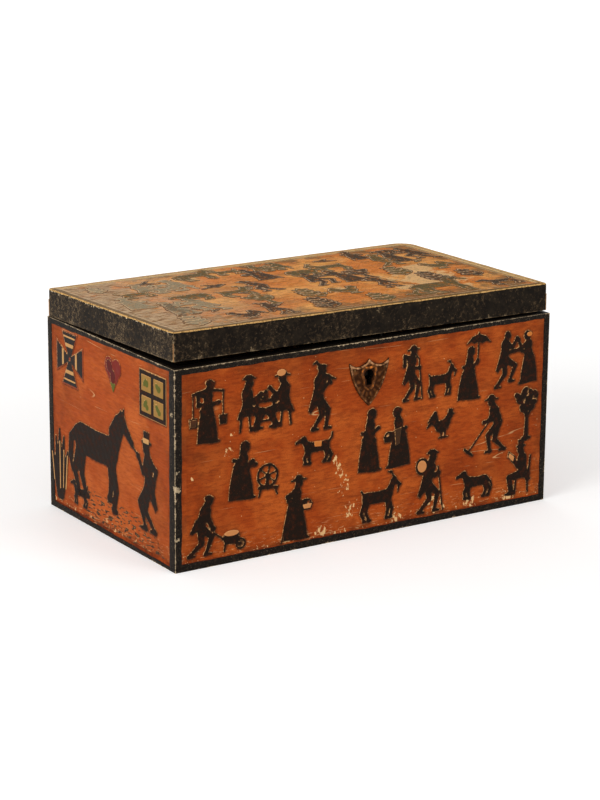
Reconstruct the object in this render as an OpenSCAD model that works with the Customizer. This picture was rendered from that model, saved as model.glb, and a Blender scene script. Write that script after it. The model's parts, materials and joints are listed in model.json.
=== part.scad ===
// Painted softwood box with a tray lid, a box lock and a pair of butt hinges.
// The origin is the centre of the underside. X runs along the front, Y to the back, Z up.
// Lid pieces are drawn as if shut and then tipped about the hinge pins by lid_rest_angle.

/* [Box] */
// Width of the body from end to end
box_w = 320; // [260:1:400]
// Depth of the body from front to back
box_d = 183; // [150:1:240]
// Height of the body without the lid
body_h = 144; // [125:1:200]
// Thickness of the front, back and end boards
wall_t = 9; // [8.5:0.5:12]
// Thickness of the bottom board
bottom_t = 6; // [4:0.5:9]

/* [Dovetails] */
// Number of dovetails at each corner
tail_count = 5; // [3:1:6]
// Width of a dovetail at its root
tail_root_w = 15; // [11:0.5:18]
// Length over which one side of a dovetail flares by one unit
tail_slope = 6; // [5:1:8]

/* [Lid] */
// How far each end of the lid stands in from the end of the body
lid_side_inset = 1; // [0:0.1:2]
// How far the front of the lid stands back from the front of the body
lid_front_setback = 3; // [1:0.1:3.4]
// Thickness of the lid's top board
lid_board_t = 8; // [6:0.5:12]
// Height of the rails under the top board
lid_rail_h = 12.5; // [11:0.5:20]
// Thickness of the rails
lid_rail_t = 9; // [8.5:0.5:12]
// Radius of the corner at the back right that wear has rounded
lid_worn_corner_r = 14; // [4:0.5:14]
// Gap between rim and rails when the lid is shut
lid_seat_gap = 0.2; // [0.1:0.05:0.5]
// Angle by which the lid stands ajar at rest
lid_rest_angle = 0.5; // [0:0.05:1.5]

/* [Edge papers] */
// Width of the black paper bands round each face
band_w = 5; // [3:0.5:8]
// Thickness of the pasted paper
paper_t = 0.2; // [0.1:0.05:0.3]

/* [Nails] */
// Number of nails under each long board
nail_count_long = 4; // [2:1:6]
// Number of nails under each end board
nail_count_short = 2; // [1:1:3]
// Length of a nail
nail_l = 19; // [12:1:26]
// Radius of a nail's shank
nail_r = 0.8; // [0.6:0.05:1.2]
// Radius of a nail's head
nail_head_r = 1.9; // [1.5:0.1:2.5]
// Thickness of a nail's head
nail_head_t = 0.7; // [0.5:0.1:1.2]
// How far the first and last nail stand from the corner
nail_end_inset = 26; // [20:1:40]

/* [Hinges] */
// Distance from the end of the body to the middle of a hinge
hinge_inset = 55; // [35:1:75]
// Length of a hinge
hinge_l = 32; // [26:1:40]
// Width of a leaf over the wood
hinge_leaf_w = 7.5; // [6.5:0.5:8]
// Thickness of a leaf
hinge_leaf_t = 1.2; // [0.9:0.1:1.5]
// Radius of the knuckle
knuckle_r = 2; // [1.8:0.1:2.4]
// Number of knuckles, shared between the two leaves
knuckle_count = 5; // [3:2:7]
// Gap between neighbouring knuckles
knuckle_gap = 0.2; // [0.1:0.05:0.4]
// Gap between the knuckle and the back of the box
knuckle_standoff = 0.5; // [0.4:0.05:1]
// Radius of the hinge pin
hinge_pin_r = 0.9; // [0.7:0.05:1.1]
// Thickness of the riveted end of the pin
pin_end_t = 0.4; // [0.3:0.1:0.6]

/* [Screws] */
// Radius of a hinge screw's head
hinge_screw_head_r = 2.1; // [1.8:0.1:2.4]
// Radius of a hinge screw's shank
hinge_screw_r = 1; // [0.8:0.05:1.2]
// Length of a hinge screw
hinge_screw_l = 9; // [7:0.5:10]
// Radius of a lock screw's head
lock_screw_head_r = 1.8; // [1.5:0.1:2]
// Radius of a lock screw's shank
lock_screw_r = 0.9; // [0.7:0.05:1.1]
// Length of a lock screw
lock_screw_l = 6.5; // [5:0.5:7.5]
// Width and depth of a screw's slot
screw_slot = 0.5; // [0.3:0.1:0.6]

/* [Lock] */
// Middle of the lock and its shield, left of the middle of the box where negative
lock_x = -1.5; // [-20:0.5:20]
// Width of the plate's ears on each side of the case
lock_ear_w = 6; // [5:0.5:12]
// How far the plate reaches below the case
lock_plate_below_case = 3.6; // [2:0.1:6]
// Thickness of the plate, its flange and the link plate
lock_sheet_t = 1.2; // [1:0.1:1.4]
// Distance from the ends of the plate to its screws, down from the rim and up from the bottom
lock_screw_inset = 8; // [7:0.5:10]
// Gap between the end of the case and the bolt at the end of its travel
lock_case_end_gap = 0.6; // [0.4:0.1:1.5]
// Thickness of the case
lock_case_t = 0.8; // [0.6:0.1:1]
// Depth of the key's pin below the rim
key_drop = 24.6; // [23:0.1:28]
// Radius of the pin that the key turns on
key_pin_r = 1.3; // [1:0.1:1.6]
// How far that pin stops short of the outer face of the case
key_pin_setback = 0.5; // [0.2:0.1:1]
// Radius of the keyhole's round top
keyhole_r = 3.7; // [3.2:0.1:4.2]
// Width of the keyhole's slot
keyhole_slot_w = 4; // [3:0.1:5]
// Length of the keyhole's slot below the key's pin
keyhole_slot_l = 7; // [5:0.1:7.4]
// Travel of the bolt
bolt_travel = 4.5; // [4:0.1:4.8]
// Thickness of the bolt
bolt_t = 1.8; // [1.4:0.1:2]
// Height of the bar that joins the two hooks
bolt_bar_h = 7.9; // [7.2:0.1:8.2]
// Length of the bar past its right-hand slot
bolt_bar_end = 3; // [2:0.1:4]
// Depth of the top of the hooks below the rim
hook_drop = 4; // [3.4:0.1:4.5]
// Height of a hook's tongue
tongue_h = 3; // [2.4:0.1:3.4]
// Length of a hook's tongue
tongue_l = 5; // [4.8:0.1:5.4]
// Width of the post that carries a tongue
hook_post_w = 4; // [3:0.1:4.2]
// Distance from the middle of the lock to each guide stud
stud_x = 16; // [15.5:0.1:16.5]
// Radius of a guide stud where the bolt slides on it
stud_r = 1.1; // [0.9:0.05:1.3]
// Radius of a guide stud's shoulder
stud_shoulder_r = 1.9; // [1.6:0.1:2.2]

// Length of the strip that presses on the bolt
bolt_spring_l = 22; // [16:1:26]
// Width of that strip
bolt_spring_w = 3; // [2:0.1:3.6]
// Thickness of that strip
bolt_spring_t = 0.35; // [0.25:0.05:0.5]

/* [Link plate] */
// Length of the link plate under the lid
link_plate_l = 48; // [44:0.5:54]
// Width of the link plate
link_plate_w = 6.5; // [5.5:0.1:7]
// Width of the link plate in front of its staples
link_plate_edge = 0.5; // [0.4:0.1:0.8]
// How far the link plate's screws stand out from midway between staple and end
link_screw_shift = 1; // [0:0.1:1.5]
// Distance between the two staples
staple_spacing = 26; // [25:0.1:27]
// Thickness of a staple along the bolt
staple_t = 2; // [1.6:0.1:2.2]
// Width of a staple across the bolt
staple_w = 3.6; // [3.4:0.1:3.8]
// Width of the eye in a staple
staple_eye_w = 2.4; // [2.3:0.1:2.6]
// Height of the closed end of a staple
staple_end_h = 1.4; // [1:0.1:1.8]

/* [Shield] */
// Half the distance between the shield's upper tips
shield_half_w = 17; // [14:0.5:20]
// Height of the upper tips above the key's pin
shield_tip_up = 10.6; // [9:0.1:13]
// Height of the middle point above the key's pin
shield_peak_up = 12; // [11:0.1:15]
// Depth of the lower point below the key's pin
shield_point_down = 22.8; // [20:0.1:28]
// How far each side of the shield bulges from a straight line
shield_bulge = 3.6; // [2:0.1:5]
// Depth of the two hollows in the top edge
shield_hollow = 4.4; // [3:0.1:5]
// Thickness of the sunk ground
shield_ground_t = 0.6; // [0.4:0.1:1]
// Height of the raised rim above the front of the box
shield_rim_t = 1.4; // [1.2:0.1:2]
// Width of the raised rim
shield_rim_w = 1.3; // [0.8:0.1:2]
// Distance from the edge to the raised frame round the keyhole
shield_frame_inset = 6.2; // [5:0.1:6.6]
// Width of that frame
shield_frame_w = 1.5; // [1:0.1:2]
// Radius of the heads of the shield's pins
shield_pin_head_r = 0.9; // [0.7:0.05:1]
// Radius of the shanks of the shield's pins
shield_pin_r = 0.4; // [0.3:0.05:0.5]
// How far each upper pin stands in from its tip
shield_pin_in = 4.4; // [4:0.1:5]
// How far each pin stands below its tip, or above the point
shield_pin_along = 6; // [5.8:0.1:6.8]

/* [Clearances] */
// Gap round anything let into wood or passed through metal
fit_gap = 0.05; // [0.03:0.01:0.1]
// Gap round anything that slides or turns
running_gap = 0.08; // [0.05:0.01:0.1]
// Gap between the bolt and the ward below it
ward_gap = 0.9; // [0.5:0.1:1.2]
// Gap in front of a staple, which swings forward as it leaves its slot
staple_front_gap = 0.65; // [0.6:0.05:0.9]
// Gap behind and beside a staple
staple_gap = 0.3; // [0.2:0.05:0.5]

/* [Hidden] */
$fn = 64;

// Cuts run past the faces they open by this much
past = 1;

// The faces of the body
left_x = -box_w / 2;
right_x = box_w / 2;
front_y = -box_d / 2;
back_y = box_d / 2;
front_inner_y = front_y + wall_t;
wall_h = body_h - bottom_t;

// The hinge axis
axis_y = back_y + knuckle_standoff + knuckle_r;
axis_z = body_h + lid_seat_gap / 2;
hinge_left_x = left_x + hinge_inset;
hinge_right_x = right_x - hinge_inset;
knuckle_pitch = hinge_l / knuckle_count;
hinge_screw_x = hinge_l / 4;

// The lid when shut
lid_w = box_w - 2 * lid_side_inset;
lid_z = body_h + lid_seat_gap;
lid_front_y = front_y + lid_front_setback;
lid_right_x = right_x - lid_side_inset;

// The lock, measured from the rim downwards and from the inner face of the front board forwards
plate_front_y = front_inner_y - lock_sheet_t;
staple_y = plate_front_y - staple_gap - staple_w / 2;
case_depth = staple_gap + staple_w + staple_front_gap + lock_case_t;
case_front_y = plate_front_y - case_depth;
lock_arm = axis_y - staple_y;
lid_lift_at_lock = lock_arm * sin(lid_rest_angle);
eye_top_drop = hook_drop - staple_gap;
eye_bottom_drop = hook_drop + tongue_h + lid_lift_at_lock + staple_gap;
staple_bottom_drop = eye_bottom_drop + staple_end_h;
bar_top_drop = staple_bottom_drop + 2 * staple_gap;
bar_bottom_drop = bar_top_drop + bolt_bar_h;
bar_middle_drop = (bar_top_drop + bar_bottom_drop) / 2;
// The key's bit reaches this far into the bolt's lower edge
talon_depth = 2.4;
talon_w = 6;
key_reach = key_drop - bar_bottom_drop + talon_depth;
case_bottom_drop = key_drop + key_reach + ward_gap + lock_case_t;
plate_h = case_bottom_drop + lock_plate_below_case;
// At rest a tongue stops this far short of its staple
tongue_standoff = 2 * staple_gap;
bolt_left = -staple_spacing / 2 - staple_t / 2 - tongue_standoff - tongue_l - hook_post_w;
bolt_right = stud_x + stud_r + bolt_bar_end;
lock_case_w = 2 * (max(bolt_right + bolt_travel, -bolt_left) + lock_case_end_gap + lock_case_t);
lock_plate_w = lock_case_w + 2 * lock_ear_w;
lock_screw_x = (lock_plate_w + lock_case_w) / 4;
lock_screw_drops = [lock_screw_inset, plate_h - lock_screw_inset];
ward_r = key_drop - bar_bottom_drop - ward_gap;
ward_wall = 0.7;
ward_depth = 1.2;
// A guide stud stands this far out of the bolt
stud_end = 0.5;
link_screw_x = (link_plate_l + staple_spacing) / 4 + link_screw_shift;
link_plate_front_y = staple_y - staple_w / 2 - link_plate_edge;

// How far the slots of each set of screws are turned
body_leaf_turn = 20;
lid_leaf_turn = 70;
lock_turn = 35;
link_turn = 55;

// The shield's sides are arcs through a tip and the point, and its top two arcs through the peak
shield_tip = [shield_half_w, shield_tip_up];
shield_point = [0, -shield_point_down];
shield_peak = [0, shield_peak_up];
shield_pin_l = case_front_y - front_y - staple_gap;
shield_pin_spots = [
    [-shield_half_w + shield_pin_in, shield_tip_up - shield_pin_along],
    [shield_half_w - shield_pin_in, shield_tip_up - shield_pin_along],
    [0, -shield_point_down + shield_pin_along]
];

// Radius of an arc over a chord of length c that rises by h
function arc_radius(c, h) = (c * c / 4 + h * h) / (2 * h);
// Centre of the arc from a to b that bulges by h to the right of the way from a to b
function arc_centre(a, b, h) =
    let (c = norm(b - a), way = (b - a) / c, left = [-way[1], way[0]])
    (a + b) / 2 + left * (arc_radius(c, h) - h);

// Evenly spaced places from a to b
function places(a, b, count) =
    count == 1 ? [(a + b) / 2] : [for (i = [0:count - 1]) a + (b - a) * i / (count - 1)];

// A box between two corners
module block(low, high) {
    translate(low) cube(high - low);
}

// One tail, standing left of its root; past makes it longer both ways for use as a cut
module tail(from_y, to_y, extra = 0) {
    root_half = tail_root_w / 2 - extra / tail_slope;
    end_half = tail_root_w / 2 + (wall_t + extra) / tail_slope;
    translate([0, to_y, 0])
        rotate([90, 0, 0])
            linear_extrude(to_y - from_y)
                polygon([
                    [extra, -root_half], [extra, root_half],
                    [-wall_t - extra, end_half], [-wall_t - extra, -end_half]
                ]);
}

// The tails at both ends of a long board
module tail_rows(from_y, to_y, extra = 0) {
    pitch = wall_h / tail_count;
    for (i = [0:tail_count - 1], side = [0, 1])
        mirror([side, 0, 0])
            translate([left_x + wall_t, 0, bottom_t + pitch * (i + 0.5)])
                tail(from_y, to_y, extra);
}

// A front or back board before its fittings are let in
module long_board(from_y) {
    block([left_x + wall_t, from_y, bottom_t], [right_x - wall_t, from_y + wall_t, body_h]);
    tail_rows(from_y, from_y + wall_t);
}

// An end board on the left, with sockets for the tails of both long boards
module end_board() {
    difference() {
        block([left_x, front_y, bottom_t], [left_x + wall_t, back_y, body_h]);
        tail_rows(front_y - past, front_inner_y, past);
        tail_rows(back_y - wall_t, back_y + past, past);
        nail_spots() nail(fit_gap);
    }
}

// Puts its children at each nail, with the head down
module nail_spots() {
    for (x = places(left_x + nail_end_inset, right_x - nail_end_inset, nail_count_long), side = [-1, 1])
        translate([x, side * (box_d - wall_t) / 2, 0]) children();
    end_inset = 2 * nail_end_inset;
    for (y = places(front_y + end_inset, back_y - end_inset, nail_count_short), side = [-1, 1])
        translate([side * (box_w - wall_t) / 2, y, 0]) children();
}

// A nail driven upwards from the underside
module nail(gap = 0) {
    translate([0, 0, -gap]) cylinder(r = nail_head_r + gap, h = nail_head_t + gap);
    cylinder(r = nail_r + gap, h = nail_l + gap);
}

// A countersunk wood screw that points down from its head at the origin
module screw(head_r, shank_r, length, turn = 0) {
    difference() {
        screw_shape(head_r, shank_r, length, 0);
        rotate(turn)
            translate([-head_r - past, -screw_slot / 2, -screw_slot])
                cube([2 * (head_r + past), screw_slot, screw_slot + past]);
    }
}

// The hole that a screw fills
module screw_hole(head_r, shank_r, length) {
    screw_shape(head_r, shank_r, length, fit_gap);
    cylinder(r = head_r + fit_gap, h = past);
}

// A screw's outline, grown by a gap
module screw_shape(head_r, shank_r, length, gap) {
    point_h = 2 * shank_r;
    rotate_extrude()
        polygon([
            [0, 0], [head_r + gap, 0], [shank_r + gap, -(head_r - shank_r)],
            [shank_r + gap, -(length - point_h)], [0, -length - gap]
        ]);
}

// A rectangular ring of paper with its outer corner at the origin
module paper_frame(w, h) {
    difference() {
        square([w, h]);
        translate([band_w, band_w]) square([w - 2 * band_w, h - 2 * band_w]);
    }
}

// The paper ring stood on a face of the body that looks towards -Y, given that face's width
module face_bands(w) {
    translate([-w / 2, 0, 0])
        rotate([90, 0, 0])
            linear_extrude(paper_t) paper_frame(w, body_h);
}

// Tips the lid's pieces from shut to where they rest
module lid_pose() {
    translate([0, axis_y, axis_z])
        rotate([-lid_rest_angle, 0, 0])
            translate([0, -axis_y, -axis_z])
                children();
}

// The lid's outline from above, grown by a gap
module lid_plan(grow = 0) {
    r = lid_worn_corner_r + grow;
    difference() {
        translate([-lid_w / 2 - grow, lid_front_y - grow])
            square([lid_w + 2 * grow, back_y - lid_front_y + 2 * grow]);
        translate([lid_right_x + grow - r, back_y + grow - r])
            difference() {
                square(r + past);
                circle(r);
            }
    }
}

// The plan of one rail: a trapezium on its outer edge from a to b, mitred at both ends
module rail_plan(a, b) {
    way = (b - a) / norm(b - a);
    inward = [-way[1], way[0]];
    intersection() {
        polygon([a, b, b + (inward - way) * lid_rail_t, a + (inward + way) * lid_rail_t]);
        lid_plan();
    }
}

module rail(a, b) {
    translate([0, 0, lid_z]) linear_extrude(lid_rail_h) rail_plan(a, b);
}

// The knuckles of one leaf, every second one from the first
module knuckles(first) {
    for (i = [first:2:knuckle_count - 1])
        translate([-hinge_l / 2 + i * knuckle_pitch + knuckle_gap / 2, 0, 0])
            rotate([0, 90, 0]) cylinder(r = knuckle_r, h = knuckle_pitch - knuckle_gap);
}

// The fingers that carry a leaf out to its knuckles
module fingers(first, low_z, high_z) {
    for (i = [first:2:knuckle_count - 1])
        block(
            [-hinge_l / 2 + i * knuckle_pitch + knuckle_gap / 2, back_y - past, low_z],
            [-hinge_l / 2 + (i + 1) * knuckle_pitch - knuckle_gap / 2, axis_y, high_z]
        );
}

// One leaf: sheet from low_z to high_z, with its screws entering from head_z
module hinge_leaf(x, first, low_z, high_z, into) {
    head_z = into < 0 ? high_z : low_z;
    translate([x, 0, 0])
        difference() {
            union() {
                block([-hinge_l / 2, back_y - hinge_leaf_w, low_z], [hinge_l / 2, back_y, high_z]);
                fingers(first, low_z, high_z);
                translate([0, axis_y, axis_z]) knuckles(first);
            }
            translate([-hinge_l / 2 - past, axis_y, axis_z])
                rotate([0, 90, 0]) cylinder(r = hinge_pin_r + running_gap, h = hinge_l + 2 * past);
            leaf_screw_spots(head_z, into) screw_hole(hinge_screw_head_r, hinge_screw_r, hinge_screw_l);
        }
}

module body_leaf(x) {
    hinge_leaf(x, 0, body_h - hinge_leaf_t, body_h, -1);
}

module lid_leaf(x) {
    lid_pose() hinge_leaf(x, 1, lid_z, lid_z + hinge_leaf_t, 1);
}

// Puts its children at the screws of a leaf centred on x = 0
module leaf_screw_spots(head_z, into) {
    for (side = [-1, 1])
        translate([side * hinge_screw_x, back_y - hinge_leaf_w / 2, head_z])
            rotate([into > 0 ? 180 : 0, 0, 0]) children();
}

// The recess for a leaf, over both hinges
module leaf_recesses(low_z, high_z) {
    for (x = [hinge_left_x, hinge_right_x])
        block(
            [x - hinge_l / 2 - fit_gap, back_y - hinge_leaf_w - fit_gap, low_z],
            [x + hinge_l / 2 + fit_gap, back_y + past, high_z]
        );
}

module all_leaf_screws(head_z, into) {
    for (x = [hinge_left_x, hinge_right_x])
        translate([x, 0, 0]) leaf_screw_spots(head_z, into) children();
}

module hinge_pin(x) {
    translate([x - hinge_l / 2, axis_y, axis_z])
        rotate([0, 90, 0]) {
            cylinder(r = hinge_pin_r, h = hinge_l);
            for (z = [-pin_end_t, hinge_l])
                translate([0, 0, z]) cylinder(r = (knuckle_r + hinge_pin_r) / 2, h = pin_end_t);
        }
}

// Turns a drawing in X and height into a solid between two depths, hung from the rim at the lock
module lock_sheet(near_y, far_y) {
    translate([lock_x, far_y, body_h])
        rotate([90, 0, 0])
            linear_extrude(far_y - near_y) children();
}

// A rectangle in a drawing hung from the rim, between two drops
module hung(from_x, to_x, top_drop, bottom_drop) {
    translate([from_x, -bottom_drop]) square([to_x - from_x, bottom_drop - top_drop]);
}

module keyhole(grow = 0) {
    translate([0, -key_drop]) {
        circle(keyhole_r + grow);
        translate([-keyhole_slot_w / 2 - grow, -keyhole_slot_l - grow])
            square([keyhole_slot_w + 2 * grow, keyhole_slot_l + grow]);
    }
}

// Everything cut from the front board for the lock
module lock_mortise() {
    half_plate = lock_plate_w / 2 + fit_gap;
    half_case = lock_case_w / 2 + fit_gap;
    lock_sheet(plate_front_y - fit_gap, front_inner_y + past)
        hung(-half_plate, half_plate, -past, plate_h + fit_gap);
    lock_sheet(case_front_y - fit_gap, front_inner_y)
        hung(-half_case, half_case, 0, case_bottom_drop + fit_gap);
    lock_sheet(case_front_y - fit_gap, front_inner_y)
        hung(-half_plate, half_plate, -past, lock_sheet_t + fit_gap);
    lock_sheet(front_y - past, front_inner_y) keyhole(2 * fit_gap);
    lock_screw_spots() screw_hole(lock_screw_head_r, lock_screw_r, lock_screw_l);
}

// Puts its children at the lock's screws, pointing forwards from the plate
module lock_screw_spots() {
    for (side = [-1, 1], drop = lock_screw_drops)
        translate([lock_x + side * lock_screw_x, front_inner_y, body_h - drop])
            rotate([-90, 0, 0]) children();
}

// Puts its children on the front face at each of the shield's pins, pointing into the wood
module shield_pin_places() {
    for (spot = shield_pin_spots)
        translate([lock_x + spot[0], front_y, body_h - key_drop + spot[1]])
            rotate([90, 0, 0]) children();
}

// The shield's outline, drawn about the key's pin and moved in from the edge by inset
module shield_plan(inset = 0) {
    side_chord = norm(shield_tip - shield_point);
    side_centre = arc_centre(shield_point, shield_tip, shield_bulge);
    side_r = arc_radius(side_chord, shield_bulge) - inset;
    top_chord = norm(shield_tip - shield_peak);
    top_centre = arc_centre(shield_tip, shield_peak, -shield_hollow);
    top_r = abs(arc_radius(top_chord, shield_hollow)) + inset;
    difference() {
        intersection() {
            translate(side_centre) circle(side_r, $fn = 180);
            mirror([1, 0]) translate(side_centre) circle(side_r, $fn = 180);
            translate([-2 * shield_half_w, -2 * shield_point_down])
                square([4 * shield_half_w, 2 * shield_point_down + shield_peak_up - inset]);
        }
        for (side = [0, 1])
            mirror([side, 0]) translate(top_centre) circle(top_r);
    }
}

// A step of the shield, raised to a height above the front of the box
module shield_step(height) {
    translate([lock_x, front_y, body_h - key_drop])
        rotate([90, 0, 0]) linear_extrude(height) children();
}

module front_board() {
    color("#a9461d")
        difference() {
            long_board(front_y);
            lock_mortise();
            nail_spots() nail(fit_gap);
            shield_pin_places()
                translate([0, 0, -shield_pin_l])
                    cylinder(r = shield_pin_r + fit_gap, h = shield_pin_l + past);
        }
}

module back_board() {
    color("#a9461d")
        difference() {
            long_board(back_y - wall_t);
            leaf_recesses(body_h - hinge_leaf_t, body_h + past);
            all_leaf_screws(body_h, -1) screw_hole(hinge_screw_head_r, hinge_screw_r, hinge_screw_l);
            nail_spots() nail(fit_gap);
        }
}

module left_end_board() {
    color("#b34d1f") end_board();
}

module right_end_board() {
    color("#b34d1f") mirror([1, 0, 0]) end_board();
}

module bottom_board() {
    color("#8a6a45")
        difference() {
            block([left_x, front_y, 0], [right_x, back_y, bottom_t]);
            nail_spots() nail(fit_gap);
        }
}

module bottom_nails() {
    color("#4a4643") nail_spots() nail();
}

module front_bands() {
    color("#1d1a18") translate([0, front_y, 0]) face_bands(box_w);
}

module back_bands() {
    color("#1d1a18")
        difference() {
            translate([0, back_y, 0]) rotate(180) face_bands(box_w);
            for (x = [hinge_left_x, hinge_right_x])
                block(
                    [x - hinge_l / 2 - past, back_y - past, body_h - hinge_leaf_t - past],
                    [x + hinge_l / 2 + past, back_y + past, body_h + past]
                );
        }
}

module left_bands() {
    color("#1d1a18") translate([left_x, 0, 0]) rotate(-90) face_bands(box_d);
}

module right_bands() {
    color("#1d1a18") translate([right_x, 0, 0]) rotate(90) face_bands(box_d);
}

module lid_board() {
    color("#9c5a26")
        lid_pose()
            translate([0, 0, lid_z + lid_rail_h]) linear_extrude(lid_board_t) lid_plan();
}

module lid_front_rail() {
    front_left = [-lid_w / 2, lid_front_y];
    front_right = [lid_w / 2, lid_front_y];
    color("#2b2622")
        lid_pose()
            difference() {
                rail(front_left, front_right);
                link_plate_blank(fit_gap, past);
                link_screw_spots() screw_hole(lock_screw_head_r, lock_screw_r, lock_screw_l);
            }
}

module lid_back_rail() {
    back_left = [-lid_w / 2, back_y];
    back_right = [lid_w / 2, back_y];
    color("#2b2622")
        lid_pose()
            difference() {
                rail(back_right, back_left);
                leaf_recesses(lid_z - past, lid_z + hinge_leaf_t);
                all_leaf_screws(lid_z, 1) screw_hole(hinge_screw_head_r, hinge_screw_r, hinge_screw_l);
            }
}

module lid_left_rail() {
    color("#2b2622") lid_pose() rail([-lid_w / 2, back_y], [-lid_w / 2, lid_front_y]);
}

module lid_right_rail() {
    color("#2b2622") lid_pose() rail([lid_w / 2, lid_front_y], [lid_w / 2, back_y]);
}

module lid_side_paper() {
    color("#1d1a18")
        lid_pose()
            difference() {
                translate([0, 0, lid_z])
                    linear_extrude(lid_rail_h + lid_board_t)
                        difference() {
                            lid_plan(paper_t);
                            lid_plan();
                        }
                for (x = [hinge_left_x, hinge_right_x])
                    block(
                        [x - hinge_l / 2 - past, back_y - past, lid_z - past],
                        [x + hinge_l / 2 + past, back_y + past, lid_z + hinge_leaf_t + past]
                    );
            }
}

module left_hinge_body_leaf() {
    color("#8a6a35") body_leaf(hinge_left_x);
}

module left_hinge_lid_leaf() {
    color("#8a6a35") lid_leaf(hinge_left_x);
}

module left_hinge_pin() {
    color("#5d5650") hinge_pin(hinge_left_x);
}

module right_hinge_body_leaf() {
    color("#8a6a35") body_leaf(hinge_right_x);
}

module right_hinge_lid_leaf() {
    color("#8a6a35") lid_leaf(hinge_right_x);
}

module right_hinge_pin() {
    color("#5d5650") hinge_pin(hinge_right_x);
}

module body_leaf_screws() {
    color("#6b635a")
        all_leaf_screws(body_h, -1)
            screw(hinge_screw_head_r, hinge_screw_r, hinge_screw_l, body_leaf_turn);
}

module lid_leaf_screws() {
    color("#6b635a")
        lid_pose()
            all_leaf_screws(lid_z, 1)
                screw(hinge_screw_head_r, hinge_screw_r, hinge_screw_l, lid_leaf_turn);
}

// The plate lies flush inside the front board, and its flange lies flush in the rim
module lock_plate() {
    half = lock_plate_w / 2;
    color("#96733a")
        difference() {
            union() {
                lock_sheet(plate_front_y, front_inner_y) hung(-half, half, 0, plate_h);
                lock_sheet(case_front_y, front_inner_y) hung(-half, half, 0, lock_sheet_t);
            }
            for (side = [-1, 1])
                lock_sheet(case_front_y + lock_case_t, plate_front_y)
                    hung(
                        side * staple_spacing / 2 - staple_t / 2 - staple_gap,
                        side * staple_spacing / 2 + staple_t / 2 + staple_gap,
                        -past, lock_sheet_t + past
                    );
            lock_screw_spots() screw_hole(lock_screw_head_r, lock_screw_r, lock_screw_l);
        }
}

// An open-backed tray under the flange, with the keyhole in its floor
module lock_case() {
    half = lock_case_w / 2;
    color("#7d6030")
        difference() {
            lock_sheet(case_front_y, plate_front_y) hung(-half, half, lock_sheet_t, case_bottom_drop);
            lock_sheet(case_front_y + lock_case_t, plate_front_y + past)
                hung(-half + lock_case_t, half - lock_case_t, 0, case_bottom_drop - lock_case_t);
            lock_sheet(case_front_y - past, plate_front_y) keyhole();
        }
}

// Shouldered studs that the slotted bolt slides on
module guide_studs() {
    bolt_back_y = staple_y + bolt_t / 2;
    color("#8d8477")
        for (side = [-1, 1])
            translate([lock_x + side * stud_x, plate_front_y, body_h - bar_middle_drop])
                rotate([90, 0, 0]) {
                    cylinder(r = stud_shoulder_r, h = plate_front_y - bolt_back_y - running_gap);
                    cylinder(r = stud_r, h = plate_front_y - bolt_back_y + bolt_t + stud_end);
                }
}

module key_pin() {
    color("#8d8477")
        translate([lock_x, plate_front_y, body_h - key_drop])
            rotate([90, 0, 0]) cylinder(r = key_pin_r, h = case_depth - key_pin_setback);
}

// A collar round the key's pin that a notched key passes, open above for the bit
module key_ward() {
    color("#96733a")
        translate([lock_x, plate_front_y, body_h - key_drop])
            rotate([90, 0, 0])
                linear_extrude(ward_depth)
                    difference() {
                        circle(ward_r);
                        circle(ward_r - ward_wall);
                        translate([-ward_r / 2, 0]) square([ward_r, ward_r + past]);
                    }
}

// A bowed strip between the bolt and the floor of the case, which holds the bolt by friction
module bolt_spring() {
    floor_y = case_front_y + lock_case_t;
    crown = staple_y - bolt_t / 2 - running_gap - floor_y;
    bow_r = arc_radius(bolt_spring_l, crown - bolt_spring_t) + bolt_spring_t;
    color("#9b958a")
        translate([lock_x, floor_y, body_h - bar_middle_drop - bolt_spring_w / 2])
            linear_extrude(bolt_spring_w)
                intersection() {
                    translate([0, crown - bow_r])
                        difference() {
                            circle(bow_r, $fn = 360);
                            circle(bow_r - bolt_spring_t, $fn = 360);
                        }
                    translate([-bolt_spring_l / 2, 0]) square([bolt_spring_l, crown + past]);
                }
}

// A bar on two slots with a talon for the key below and two hooks above
module lock_bolt() {
    color("#8d8477")
        lock_sheet(staple_y - bolt_t / 2, staple_y + bolt_t / 2)
            difference() {
                union() {
                    hung(bolt_left, bolt_right, bar_top_drop, bar_bottom_drop);
                    for (side = [-1, 1]) {
                        tip = side * staple_spacing / 2 - staple_t / 2 - tongue_standoff;
                        post = tip - tongue_l;
                        hung(post - hook_post_w, post, hook_drop, bar_top_drop + past);
                        hung(post - past, tip, hook_drop, hook_drop + tongue_h);
                    }
                }
                for (side = [-1, 1]) {
                    far = side * stud_x - bolt_travel;
                    near = side * stud_x;
                    slot_r = stud_r + running_gap;
                    hung(far, near, bar_middle_drop - slot_r, bar_middle_drop + slot_r);
                    for (x = [far, near])
                        translate([x, -bar_middle_drop]) circle(slot_r);
                }
                talon_x = -bolt_travel / 2;
                hung(
                    talon_x - talon_w / 2, talon_x + talon_w / 2,
                    bar_bottom_drop - talon_depth, bar_bottom_drop + past
                );
            }
}

module lock_screws() {
    color("#6b635a") lock_screw_spots() screw(lock_screw_head_r, lock_screw_r, lock_screw_l, lock_turn);
}

// The link plate's blank, grown by a gap and carried down below the rail for use as a cut
module link_plate_blank(grow = 0, down = 0) {
    block(
        [lock_x - link_plate_l / 2 - grow, link_plate_front_y - grow, lid_z - down],
        [lock_x + link_plate_l / 2 + grow, link_plate_front_y + link_plate_w + grow, lid_z + lock_sheet_t]
    );
}

// Puts its children at the link plate's screws, pointing up into the rail
module link_screw_spots() {
    for (side = [-1, 1])
        translate([lock_x + side * link_screw_x, link_plate_front_y + link_plate_w / 2, lid_z])
            rotate([180, 0, 0]) children();
}

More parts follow.
